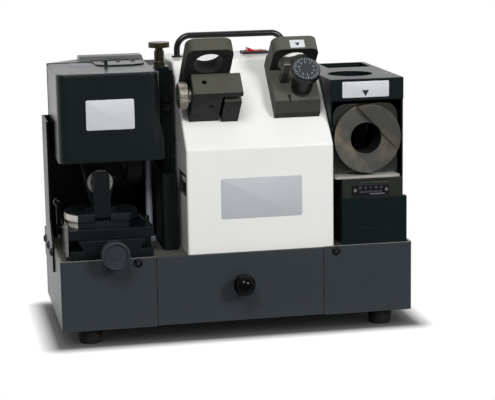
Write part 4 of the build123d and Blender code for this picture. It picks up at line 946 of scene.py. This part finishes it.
    def coil(self, place: Matrix, radius: float, wire: float, rise: float, turns: int) -> None:
        """Adds a round-wire spring, spun up a screw line from one section of its wire.

        Args:
            place: the middle of its lowest turn, axis up.
            radius: radius at the middle of the wire, in millimetres.
            wire: thickness of the wire.
            rise: height between the ends of the wire.
            turns: number of turns.
        """
        before = set(self.mesh.verts)
        made = bmesh.ops.create_circle(
            self.mesh, cap_ends=False, segments=self.wire_sides, radius=wire / 2 * MM)["verts"]
        bmesh.ops.rotate(self.mesh, matrix=Matrix.Rotation(math.pi / 2, 3, "X"), verts=made)
        bmesh.ops.translate(self.mesh, vec=(radius * MM, 0.0, 0.0), verts=made)
        first = list({e for v in made for e in v.link_edges})
        steps = self.coil_steps * turns
        last = bmesh.ops.spin(
            self.mesh, geom=made + first, cent=(0, 0, 0), axis=(0, 0, 1), dvec=(0.0, 0.0, rise * MM / steps),
            angle=math.tau * turns, steps=steps, use_merge=False)["geom_last"]
        for end in (first, only(BMEdge, last)):
            bmesh.ops.edgeloop_fill(self.mesh, edges=end)
        self.settle(before, place)

    def sheet(self, corners: list[Vector], faces: tuple[tuple[int, ...], ...], lift: Vector) -> None:
        """Adds a thin sheet over some flat faces that share corners.

        Args:
            corners: its corners, as points of the frame.
            faces: numbers of the corners round each face.
            lift: from its underside to its top.
        """
        verts = [self.mesh.verts.new(corner) for corner in corners]
        self.raise_faces([self.mesh.faces.new([verts[i] for i in face]) for face in faces], lift)

    def figure(self, place: Matrix, text: str, size: float) -> None:
        """Adds a printed figure, made a mesh from the built-in letters.

        Args:
            place: its middle on the surface, face up.
            text: what it says.
            size: height of the letters, in millimetres.
        """
        curve = bpy.data.curves.new(self.name + "_text", "FONT")
        curve.body, curve.size = text, size * self.letter_size * MM
        curve.align_x, curve.align_y, curve.extrude = "CENTER", "CENTER", self.letter_depth * MM
        drawn = bpy.data.objects.new(self.name + "_text", curve)
        bpy.context.collection.objects.link(drawn)
        flat = bpy.data.meshes.new_from_object(drawn.evaluated_get(bpy.context.evaluated_depsgraph_get()))
        before = set(self.mesh.verts)
        self.mesh.from_mesh(flat)
        self.settle(before, place)
        bpy.data.objects.remove(drawn)
        bpy.data.meshes.remove(flat)
        bpy.data.curves.remove(curve)

    def fit(self, finish: Finish, body: str, slot: str) -> Object:
        """Turns the mesh into a piece that rides on a body.

        Args:
            finish: what its surface is.
            body: CAD body that carries it.
            slot: not used.

        Returns:
            The finished object, at the origin.
        """
        bmesh.ops.remove_doubles(self.mesh, verts=self.mesh.verts, dist=self.merge_distance)
        bmesh.ops.recalc_face_normals(self.mesh, faces=self.mesh.faces)
        data = bpy.data.meshes.new(self.name)
        self.mesh.to_mesh(data)
        self.mesh.free()
        data.shade_smooth()
        data.set_sharp_from_angle(angle=math.radians(self.crease))
        data.materials.append(material_of(finish))
        made = bpy.data.objects.new(self.name, data)
        bpy.context.collection.objects.link(made)
        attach(made, body)
        LOG.info("%s rides on %s, %d faces", self.name, body, len(data.polygons))
        return made


def lay_plate(name: str, plate: Plate, place: Matrix, finish: Finish, body: str, slot: str) -> None:
    """Makes a blank plate, label or film as a piece of its own.

    Args:
        name: name of the piece.
        plate: its sizes.
        place: where its underside lies, face up.
        finish: what its surface is.
        body: CAD body that carries it.
        slot: material slot of the record that it belongs to.
    """
    piece = Piece(name)
    piece.plate(place, plate)
    piece.fit(finish, body, slot)


def drive_screws(names: tuple[str, str], screw: PanHead, places: list[Matrix], finish: Finish, body: str,
                 slot: str) -> None:
    """Makes slotted screws, with their heads as one piece and the painted shade of their slots as another.

    Args:
        names: names of the heads and of the painted shade in their slots.
        screw: their sizes.
        places: the middles of their seats, heads up.
        finish: what the heads' surface is.
        body: CAD body that carries them.
        slot: material slot of the record that the heads belong to.
    """
    heads, slots = (Piece(name) for name in names)
    top = Matrix.Translation((0.0, 0.0, screw.height * MM))
    for place in places:
        heads.dome(place, screw.radius, screw.height)
        # Each slot is a black bar of painted shade
        slots.bar(place @ top, screw.slot_length, screw.slot_width)
    heads.fit(finish, body, slot)
    slots.fit(BLACK_INK_AND_SHADE, body, "black_paint")


PANEL_SCREW = PanHead(radius=4.0, height=2.2, slot_length=5.0, slot_width=0.9)
LEAF_SCREW = PanHead(radius=3.0, height=1.2, slot_length=3.6, slot_width=0.7)


@dataclass
class BaseCabinet:
    """Steel base with its drawer, feet, side guard and rear fittings."""

    panel_screws: tuple[float, ...] = (94.5, 342.0)
    panel_turn: float = 15.0
    guard_screws: tuple[float, ...] = (88.0, 130.0, 172.0)
    guard_turn: float = 40.0
    screw_level: float = 93.0
    head_height: float = 3.0
    guard_side: float = -5.5
    socket_radius: float = 2.3
    socket_thick: float = 0.06
    depth: float = 212.0
    rear_columns: tuple[float, ...] = (14.0, 220.0, 426.0)
    rear_rows: tuple[float, ...] = (26.0, 86.0)

    def build(self) -> None:
        """Makes the painted shade in the screw sockets, and the rear screws."""
        # Black hexagons are painted shade inside the screws' sockets
        socket_shade = Piece("panel_screw_socket_shade")
        for x in self.panel_screws:
            place = facing(bench(x, -self.head_height, self.screw_level), RIGHT, UP)
            socket_shade.prism(place, HEXAGON, self.socket_radius, self.socket_thick, self.panel_turn)
        for y in self.guard_screws:
            place = facing(bench(self.guard_side, y, self.screw_level), -REAR, UP)
            socket_shade.prism(place, HEXAGON, self.socket_radius, self.socket_thick, self.guard_turn)
        socket_shade.fit(BLACK_INK_AND_SHADE, "base", "black_paint")
        spots = [(x, z) for x in self.rear_columns for z in self.rear_rows]
        seats = [facing(bench(x, self.depth, z), -RIGHT, UP) for x, z in spots]
        names = ("rear_panel_screws", "rear_screw_slot_shade")
        drive_screws(names, PANEL_SCREW, seats, BLACK_LACQUER, "base", "black_paint")

    def dress(self) -> None:
        """Paints the cabinet and its fittings."""
        dress(SLATE_POWDER, "base_shell", "base_floor", "drawer_front")
        # The guard's inner side is painted black as shade
        dress(GUARD_POWDER, "left_side_guard")
        dress(PHOSPHATE_STEEL, "deck_plate")
        dress(FOOT_RUBBER, "rubber_feet")
        dress(BLACK_NICKEL, "case_screws")
        dress(BRIGHT_STEEL, "bright_screws")
        dress(ZINC_SHEET, "drawer_tray", "drawer_rails")
        dress(BLACK_PHENOLIC, "drawer_knob")
        dress(MATT_NYLON, "cable_gland")


@dataclass
class MotorCover:
    """White cover over the motor, with its plates, handle, switch and what it hides."""

    plate: Plate = Plate((250.7, 10.0, 164.1), 101.8, 50.4, 0.5, 2.5)
    label: Plate = Plate((158.0, 41.0, 181.5), 53.0, 26.5, 0.25, 1.0)
    field: Plate = Plate((157.75, 32.0, 188.0), 26.0, 6.0, 0.08, 0.6)
    rocker_pivot: Point = (276.0, 165.0, 326.5)
    rocker_tilt: float = 10.0
    rocker_slope: Pair = (10.5, 2.2)
    mark_out: float = 6.0
    mark_up: float = 3.9
    mark_thick: float = 0.12
    on_mark: Pair = (0.9, 4.5)
    off_mark: Pair = (1.2, 0.6)
    off_radius: float = 2.1
    off_steps: int = 12
    back: float = 205.0
    rear_columns: tuple[float, ...] = (170.0, 330.0)
    rear_rows: tuple[float, ...] = (108.0, 300.0)

    def build(self) -> None:
        """Makes the blank plates, the switch marks and the rear screws."""
        place = facing(bench(*self.plate.middle), RIGHT, UP)
        lay_plate("cover_blank_plate", self.plate, place, SILVER_PLATE, "base", "bright_steel")
        place = facing(bench(*self.label.middle), -REAR, UP)
        lay_plate("cover_side_label", self.label, place, BLACK_VINYL, "base", "black_plastic")
        place = facing(bench(*self.field.middle), -REAR, UP)
        lay_plate("cover_side_label_field", self.field, place, WHITE_VINYL, "base", "white_enamel")
        self.switch_marks()
        spots = [(x, z) for z in self.rear_rows for x in self.rear_columns]
        seats = [facing(bench(x, self.back, z), -RIGHT, UP) for x, z in spots]
        # The slots' black bars are painted shade
        names = ("cover_rear_screws", "cover_rear_screw_slot_shade")
        drive_screws(names, PANEL_SCREW, seats, BRIGHT_STEEL, "base", "bright_steel")

    def switch_marks(self) -> None:
        """Prints the on and off marks on the rocker's two faces."""
        marks = Piece("rocker_marks")
        tilt = Matrix.Rotation(math.radians(self.rocker_tilt), 4, "Y")
        turn = Matrix.Translation(bench(*self.rocker_pivot)) @ tilt
        run, rise = self.rocker_slope
        lean = math.atan2(rise, run)
        faces = []
        for side in (-1, 1):
            middle = Matrix.Translation(Vector((side * self.mark_out, 0.0, self.mark_up)) * MM)
            faces.append(turn @ (middle @ Matrix.Rotation(-side * lean, 4, "Y")))
        on_face, off_face = faces
        marks.bar(on_face, *self.on_mark, self.mark_thick)
        out = Matrix.Translation((0.0, self.off_radius * MM, 0.0))
        for step in range(self.off_steps):
            spoke = Matrix.Rotation(math.tau * step / self.off_steps, 4, "Z") @ out
            marks.bar(off_face @ spoke, *self.off_mark, self.mark_thick)
        marks.fit(WHITE_INK, "rocker", "white_enamel")

    def dress(self) -> None:
        """Paints the cover and dresses the parts on and under it."""
        dress(WHITE_ENAMEL, "main_cover")
        dress(BLACK_LACQUER, "carry_handle")
        dress(MATT_NYLON, "switch_bezel")
        dress(RED_ROCKER, "switch_rocker")
        dress(CAST_ALUMINIUM, "motor_body", "wheel_hubs")
        dress(ZINC_SHEET, "motor_cradle", "wheel_clamps")
        dress(BRIGHT_STEEL, "spindle_bearings", "spindle_shaft")
        dress(WHEEL_GRIT, "wheel_rims")


@dataclass
class MillStation:
    """End mill station: slide, swivel table, tool sleeve, stop arm and their knobs."""

    ring_middle: Pair = (58.0, 65.0)
    ring_radius: float = 42.0
    ring_level: float = 137.5
    tick_start: float = 140.0
    tick_sweep: float = 80.0
    tick_step: float = 5.0
    tick_width: float = 0.45
    long_tick: float = 4.0
    short_tick: float = 2.6
    long_every: int = 3
    knob_middle: Point = (65.0, -13.2, 108.5)
    knob_radius: float = 17.0
    knob_width: float = 12.6
    knob_teeth: int = 54
    tooth_depth: float = 0.25

    def build(self) -> None:
        """Makes the degree ticks of the ring and the knurled rim of the feed knob."""
        ticks = Piece("swivel_ring_ticks")
        for step in range(int(self.tick_sweep / self.tick_step) + 1):
            angle = math.radians(self.tick_start + step * self.tick_step)
            out = Vector((math.cos(angle), math.sin(angle), 0.0))
            tall = self.short_tick if step % self.long_every else self.long_tick
            spot = bench(*self.ring_middle, self.ring_level - tall / 2) + out * self.ring_radius * MM
            ticks.bar(facing(spot, UP.cross(out), UP), self.tick_width, tall)
        ticks.fit(BLACK_INK_AND_SHADE, "cross", "black_paint")
        grip = Piece("feed_knob_knurl")
        place = facing(bench(*self.knob_middle), RIGHT, UP)
        grip.knurl(place, self.knob_radius, self.knob_width, self.knob_teeth, self.tooth_depth)
        grip.fit(SLATE_NYLON, "feed", "black_plastic")

    def dress(self) -> None:
        """Dresses the slide and everything that it carries."""
        dress(BLACKED_STEEL, "slide_base", "cross_slide", "slide_lock", "stop_arm", "tool_holder")
        dress(BRIGHT_STEEL, "feed_screw", "stop_arm_pin", "tool_sleeve")
        dress(SIDE_STEEL, "slide_side_plate")
        # The ring and table carry a painted highlight on their left flank
        dress(LIT_FLANK_STEEL, "swivel_ring", "swivel_table")
        dress(BEARING_BRONZE, "gib_and_nut")
        dress(SLATE_NYLON, "feed_knob")
        dress(BLACK_PHENOLIC, "clamp_lever")
        # The guide post's pale colour is a painted reflection
        dress(PALE_SHEEN_CHROME, "guide_post")


@dataclass
class WheelHood:
    """Hinged hood over the left wheel, its housing, lock and inner column."""

    label: Plate = Plate((69.7, 30.0, 271.0), 58.6, 36.6, 0.3, 2.0)
    film: Plate = Plate((43.0, 132.0, 321.0), 29.0, 44.0, 0.2, 1.0)
    leaf_screws: tuple[float, ...] = (76.0, 95.0, 114.0)
    leaf_row: float = 144.0
    leaf_level: float = 322.8
    bolt_x: float = 145.25
    bolt_recess: float = 72.5
    bolt_levels: tuple[float, ...] = (271.0, 283.0)
    bolt_socket: float = 2.25
    socket_thick: float = 0.08
    spring_wire: float = 0.8
    spring_turns: int = 5
    lock_lift: float = 6.1

    def build(self) -> None:
        """Makes the blank labels, the leaf's screws, the painted shade in the bolts' sockets and the lock's
        spring.
        """
        place = facing(bench(*self.label.middle), RIGHT, UP)
        lay_plate("hood_blank_label", self.label, place, WHITE_VINYL, "hood", "white_enamel")
        place = facing(bench(*self.film.middle), RIGHT, REAR)
        lay_plate("hood_top_film", self.film, place, GREY_VINYL, "hood", "white_enamel")
        seats = [facing(bench(x, self.leaf_row, self.leaf_level), RIGHT, REAR) for x in self.leaf_screws]
        # The slots' black bars are painted shade
        names = ("leaf_screws", "leaf_screw_slot_shade")
        drive_screws(names, LEAF_SCREW, seats, BLACK_LACQUER, "hood", "black_paint")
        # Black hexagons are painted shade inside the bolts' sockets
        socket_shade = Piece("column_bolt_socket_shade")
        for z in self.bolt_levels:
            place = facing(bench(self.bolt_x, self.bolt_recess, z), RIGHT, UP)
            socket_shade.prism(place, HEXAGON, self.bolt_socket, self.socket_thick)
        socket_shade.fit(BLACK_INK_AND_SHADE, "base", "black_paint")
        self.lock_coil()

    def lock_coil(self) -> None:
        """Winds the lock's spring."""
        low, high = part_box("lock_spring")
        middle, size = (low + high) / 2, (high - low) / MM
        foot = Vector((middle.x, middle.y, low.z + self.spring_wire / 2 * MM))
        coil = Piece("lock_coil")
        radius = (size.x - self.spring_wire) / 2
        rise = size.z - self.spring_wire
        coil.coil(facing(foot, RIGHT, REAR), radius, self.spring_wire, rise, self.spring_turns)
        made = coil.fit(BRIGHT_STEEL, "hood", "bright_steel")
        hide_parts("lock_spring")
        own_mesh(made)

    def dress(self) -> None:
        """Paints the hood and dresses its hinge and lock."""
        dress(HOOD_POWDER, "hood", "hood_hinge_leaf", "housing_hinge_leaf", "wheel_housing")
        dress(BLACK_POWDER, "inner_column")
        dress(BROWNED_BRONZE, "lock_body", "lock_plunger")
        dress(BRIGHT_STEEL, "lock_spring")


@dataclass
class SettingGauges:
    """The two setting gauges on the cover's slope, with the dial and thumb nut."""

    foot: Point = (0.0, 10.0, 226.0)
    along: Point = (0.0, 0.6885, 0.7252)
    out: Point = (0.0, -0.7252, 0.6885)
    dial_middle: Point = (309.6, 71.0, 61.0)
    dial_radius: float = 17.6
    disc_sides: int = 64
    disc_margin: float = 0.6
    disc_thick: float = 0.2
    tick_count: int = 30
    tick_margin: float = 1.2
    tick_width: float = 0.5
    long_tick: float = 4.6
    short_tick: float = 3.2
    long_every: int = 3
    figure_margin: float = 8.4
    figure_size: float = 2.8
    label: Plate = Plate((304.0, 108.0, 63.0), 18.4, 11.8, 0.2, 0.6)
    pointer_radius: float = 3.6
    pointer_thick: float = 0.05
    nut_middle: Point = (152.4, 57.0, 35.0)
    nut_radius: float = 16.0
    nut_width: float = 9.2
    nut_teeth: int = 60
    tooth_depth: float = 0.3
    index: tuple[Point, ...] = (
        (290.6, 61.9, 20.0), (295.4, 61.9, 20.0), (294.0, 53.0, 20.0), (292.0, 53.0, 20.0),
        (293.0, 46.9, 13.9))
    index_thick: float = 0.3

    def slope(self, x: float, s: float, n: float) -> Vector:
        """A place on the slope, x to the right, s up the slope and n out from it, in millimetres."""
        along, out = Vector(self.along), Vector(self.out)
        return bench(*self.foot) + (RIGHT * x + along * s + out * n) * MM

    def build(self) -> None:
        """Makes the dial's scale, the blank arch label and the thumb nut's knurl."""
        along, out = Vector(self.along), Vector(self.out)
        self.dial()
        index = Piece("dial_index")
        index.sheet(
            [self.slope(*corner) for corner in self.index], ((0, 1, 2, 3), (3, 2, 4)),
            out * self.index_thick * MM)
        index.fit(BLACK_INK_AND_SHADE, "base", "black_paint")
        x, s, n = self.label.middle
        place = facing(self.slope(x, s, n), RIGHT, along)
        lay_plate("arch_blank_label", self.label, place, WHITE_VINYL, "base", "white_enamel")
        pointer = Piece("arch_pointer")
        place = facing(self.slope(x, s, n + self.label.thick), RIGHT, along)
        pointer.prism(place, TRIANGLE, self.pointer_radius, self.pointer_thick, POINT_DOWN)
        pointer.fit(BLACK_INK_AND_SHADE, "base", "black_paint")
        grip = Piece("thumb_nut_knurl")
        place = facing(self.slope(*self.nut_middle), along, out)
        grip.knurl(place, self.nut_radius, self.nut_width, self.nut_teeth, self.tooth_depth)
        grip.fit(NICKEL, "gauge_nut", "chrome")

    def dial(self) -> None:
        """Makes the dial's printed disc, its ticks and its figures."""
        along = Vector(self.along)
        x, s, n = self.dial_middle
        disc = Piece("dial_face")
        place = facing(self.slope(x, s, n), RIGHT, along)
        disc.prism(place, self.disc_sides, self.dial_radius - self.disc_margin, self.disc_thick)
        disc.fit(SLATE_DISC, "dial", "dark_plastic")
        face = facing(self.slope(x, s, n + self.disc_thick), RIGHT, along)
        scale = Piece("dial_scale")
        for step in range(self.tick_count):
            angle = math.radians(360.0 / self.tick_count * step)
            tall = self.short_tick if step % self.long_every else self.long_tick
            reach = (self.dial_radius - self.tick_margin - tall / 2) * MM
            spoke = Matrix.Rotation(-angle, 4, "Z") @ Matrix.Translation((0.0, reach, 0.0))
            scale.bar(face @ spoke, self.tick_width, tall)
            if step % self.long_every == 0:
                radius = (self.dial_radius - self.figure_margin) * MM
                spot = Matrix.Translation((math.sin(angle) * radius, math.cos(angle) * radius, 0.0))
                scale.figure(face @ spot, str(step // self.long_every), self.figure_size)
        scale.fit(DIAL_INK, "dial", "white_enamel")

    def dress(self) -> None:
        """Dresses both gauges."""
        dress(BORED_PHOSPHATE, "mill_gauge")
        dress(PHOSPHATE_STEEL, "drill_gauge")
        dress(MILLED_STEEL, "gauge_pins")
        dress(NICKEL, "mill_gauge_nut")
        # The dial's deep black is painted shade on its skirt
        dress(SHADED_ACETAL, "gauge_dial")


@dataclass
class DrillStation:
    """Drill station: column with its fascia, angle head, cam disc, scale and lower cover."""

    label: Plate = Plate((387.3, 25.0, 289.75), 59.7, 19.9, 0.25, 1.2)
    pointer_middle: Point = (387.0, 24.75, 286.2)
    pointer_radius: float = 5.2
    pointer_thick: float = 0.06
    scale_face: float = 12.5
    scale_middle: float = 390.0
    tick_level: float = 161.8
    tick_reach: int = 10
    tick_gap: float = 1.35
    tick_width: float = 0.35
    long_tick: float = 3.2
    short_tick: float = 2.0
    long_every: int = 5
    figure_level: float = 168.0
    figure_size: float = 2.4
    figure_step: int = 6
    strip: Plate = Plate((398.5, 12.5, 160.0), 19.0, 1.4, 0.2, 0.4)

    def build(self) -> None:
        """Makes the fascia's blank label and the marks of the swivel scale."""
        place = facing(bench(*self.label.middle), RIGHT, UP)
        lay_plate("fascia_blank_label", self.label, place, WHITE_VINYL, "base", "white_enamel")
        pointer = Piece("fascia_pointer")
        place = facing(bench(*self.pointer_middle), RIGHT, UP)
        pointer.prism(place, TRIANGLE, self.pointer_radius, self.pointer_thick, POINT_DOWN)
        pointer.fit(BLACK_INK_AND_SHADE, "base", "black_paint")
        marks = Piece("swivel_scale_marks")
        for step in range(-self.tick_reach, self.tick_reach + 1):
            x = self.scale_middle + step * self.tick_gap
            tall = self.short_tick if step % self.long_every else self.long_tick
            place = facing(bench(x, self.scale_face, self.tick_level + tall / 2), RIGHT, UP)
            marks.bar(place, self.tick_width, tall)
            if step % self.long_every == 0:
                spot = facing(bench(x, self.scale_face, self.figure_level), RIGHT, UP)
                marks.figure(spot, str(abs(step) * self.figure_step), self.figure_size)
        marks.fit(FAINT_INK, "base", "white_enamel")
        place = facing(bench(*self.strip.middle), RIGHT, UP)
        lay_plate("swivel_index_strip", self.strip, place, GREY_VINYL, "base", "white_enamel")

    def dress(self) -> None:
        """Paints the column and dresses the angle head."""
        dress(COLUMN_POWDER, "column_shell", "column_top", "storage_cups", "lower_cover")
        dress(OILED_STEEL, "pedestal", "angle_block")
        dress(CAM_STEEL, "cam_disc")
        dress(PLATE_STEEL, "swivel_plate")
        dress(BLACK_LACQUER, "scale_plate")


@dataclass(frozen=True)
class Lamp:
    """A square soft lamp: its place in millimetres, its size in metres, its power in watts."""

    name: str
    spot: Point
    size: float
    power: float
    spares_floor: bool


@dataclass
class Studio:
    """Pale floor, soft lamps and the camera at the photograph's angle."""

    eye: Point = (-161.2, -1926.3, 545.3)
    yaw: float = 11.5
    pitch: float = 11.0
    roll: float = -0.9
    focal_px: float = 1642.5
    image_width: int = 495
    sensor_mm: float = 36.0
    clip: Pair = (0.05, 50.0)
    ambient: float = 0.18
    front_level: float = 0.22
    surround_turn: Pair = (-0.55, 0.35)
    aim: Point = (220.0, 100.0, 170.0)
    lamps: tuple[Lamp, ...] = (
        Lamp("key_lamp", (1500.0, -2300.0, 1450.0), 0.7, 44.0, True),
        Lamp("front_lamp", (-600.0, -2200.0, 2300.0), 1.2, 50.0, True),
        Lamp("top_lamp", (250.0, 600.0, 2400.0), 1.4, 4.0, False),
    )
    white: str = "#FFFFFF"
    paper_tone: str = "#F4F4F4"
    floor_half: float = 6.0
    floor_cells: int = 24
    floor_turn: Pair = (-0.25, 0.1)
    footprint: Pair = (440.0, 212.0)
    fade: Pair = (4.0, 28.0)

    def set_camera(self) -> None:
        """Puts the camera where the photograph was taken from."""
        yaw, pitch, roll = (math.radians(a) for a in (self.yaw, self.pitch, self.roll))
        ahead = Vector((math.sin(yaw) * math.cos(pitch), math.cos(yaw) * math.cos(pitch), -math.sin(pitch)))
        level = Vector((math.cos(yaw), -math.sin(yaw), 0.0))
        upright = level.cross(ahead)
        right = level * math.cos(roll) + upright * math.sin(roll)
        up = upright * math.cos(roll) - level * math.sin(roll)
        data = bpy.data.cameras.new("bench_camera")
        data.sensor_fit, data.sensor_width = "HORIZONTAL", self.sensor_mm
        data.lens = self.focal_px * data.sensor_width / self.image_width
        data.clip_start, data.clip_end = self.clip
        camera = bpy.data.objects.new("bench_camera", data)
        camera.matrix_world = facing(bench(*self.eye), right, up)
        bpy.context.collection.objects.link(camera)
        bpy.context.scene.camera = camera

    def set_world(self) -> None:
        """Hangs a surround that is pale behind and above the bench and dim in front of it."""
        world = bpy.data.worlds.new("studio_surround")
        world.use_nodes = True
        world.node_tree.nodes.clear()
        add = partial(add_node, world.node_tree)
        way = add("SeparateXYZ", {0: add("TexCoord").outputs["Generated"]}).outputs["Y"]
        front, back = self.surround_turn
        behind = add("MapRange", {0: way, 1: front, 2: back, 3: self.front_level, 4: 1.0})
        ray = add("LightPath").outputs
        clear = add("Math", {0: ray["Is Camera Ray"], 1: ray["Is Transmission Ray"]}, operation="MAXIMUM")
        shine = add("Math", {0: ray["Is Glossy Ray"], 1: behind}, operation="MULTIPLY")
        seen = add("Math", {0: clear, 1: shine}, operation="MAXIMUM")
        fill = add("Math", {0: 1.0, 1: ray["Is Glossy Ray"]}, operation="SUBTRACT")
        base = add("Math", {0: fill, 1: self.ambient}, operation="MULTIPLY")
        level = add("Math", {0: seen, 1: base}, operation="MAXIMUM")
        pale = add("Background", {"Color": linear(self.white), "Strength": level})
        add("OutputWorld", {"Surface": pale})
        bpy.context.scene.world = world

    def set_lamps(self) -> None:
        """Hangs three soft lamps: a key from the upper right, a broad front fill and a top light."""
        for lamp in self.lamps:
            data = bpy.data.lights.new(lamp.name, "AREA")
            data.shape, data.size, data.energy = "SQUARE", lamp.size, lamp.power
            hung = bpy.data.objects.new(lamp.name, data)
            hung.location = bench(*lamp.spot)
            hung.rotation_mode = "QUATERNION"
            hung.rotation_quaternion = (bench(*self.aim) - hung.location).to_track_quat("-Z", "Y")
            hung.visible_camera = False
            bpy.context.collection.objects.link(hung)

    def paper(self) -> Material:
        """Makes the floor's paper, which fades to white beyond the machine's footprint.

        Returns:
            The floor's material.
        """
        made = bpy.data.materials.new("white_paper_floor")
        made.use_nodes = True
        made.node_tree.nodes.clear()
        add = partial(add_node, made.node_tree)
        where = add("TexCoord").outputs["Object"]
        length, depth = self.footprint
        middle = bench(length / 2, depth / 2, 0.0)
        offset = add("VectorMath", {0: where, 1: (middle.x, middle.y, 0.0)}, operation="SUBTRACT")
        spread = add("VectorMath", {0: offset}, operation="ABSOLUTE")
        half = (length / 2 * MM, depth / 2 * MM, 0.0)
        beyond = add("VectorMath", {0: spread, 1: half}, operation="SUBTRACT")
        outside = add("VectorMath", {0: beyond, 1: (0.0, 0.0, 0.0)}, operation="MAXIMUM")
        reach = add("VectorMath", {0: outside}, operation="LENGTH").outputs["Value"]
        far = add("MapRange", {0: reach, 1: self.fade[0] * MM, 2: self.fade[1] * MM})
        way = add("SeparateXYZ", {0: where}).outputs["Y"]
        front, back = self.floor_turn
        behind = add("MapRange", {0: way, 1: front, 2: back, 3: self.front_level, 4: 1.0})
        ray = add("LightPath").outputs
        look = add("Math", {0: ray["Is Camera Ray"], 1: ray["Is Glossy Ray"]}, operation="MAXIMUM")
        seen = add("Math", {0: far, 1: look}, operation="MULTIPLY")
        level = add("Math", {0: ray["Is Camera Ray"], 1: behind}, operation="MAXIMUM")
        matt = add("BsdfDiffuse", {"Color": linear(self.paper_tone)})
        white = add("Emission", {"Color": linear(self.white), "Strength": level})
        add("OutputMaterial", {"Surface": add("MixShader", {0: seen, 1: matt, 2: white})})
        return made

    def lay_floor(self) -> None:
        """Lays the pale floor, and keeps the front lamps off it so that the lamp above draws the shadow."""
        mesh = bmesh.new()
        bmesh.ops.create_grid(
            mesh, x_segments=self.floor_cells, y_segments=self.floor_cells, size=self.floor_half)
        data = bpy.data.meshes.new("studio_floor")
        mesh.to_mesh(data)
        mesh.free()
        data.materials.append(self.paper())
        floor = bpy.data.objects.new("studio_floor", data)
        bpy.context.collection.objects.link(floor)
        spared = bpy.data.collections.new("spared_by_front_lamps")
        spared.objects.link(floor)
        spared.collection_objects[0].light_linking.link_state = "EXCLUDE"
        for lamp in self.lamps:
            if lamp.spares_floor:
                bpy.data.objects[lamp.name].light_linking.receiver_collection = spared

    def build(self) -> None:
        """Sets up camera, surround, lamps and floor."""
        self.set_camera()
        self.set_world()
        self.set_lamps()
        self.lay_floor()
        bpy.context.scene.view_settings.view_transform = "Standard"


def main() -> None:
    """Builds the studio, then each sub-assembly."""
    logging.basicConfig(level=logging.INFO, format="%(name)s: %(message)s")
    Studio().build()
    stations = (MillStation(), WheelHood(), SettingGauges(), DrillStation())
    for assembly in (BaseCabinet(), MotorCover(), *stations):
        assembly.build()
        assembly.dress()
        LOG.info("%s done", type(assembly).__name__)


if __name__ == "__main__":
    main()
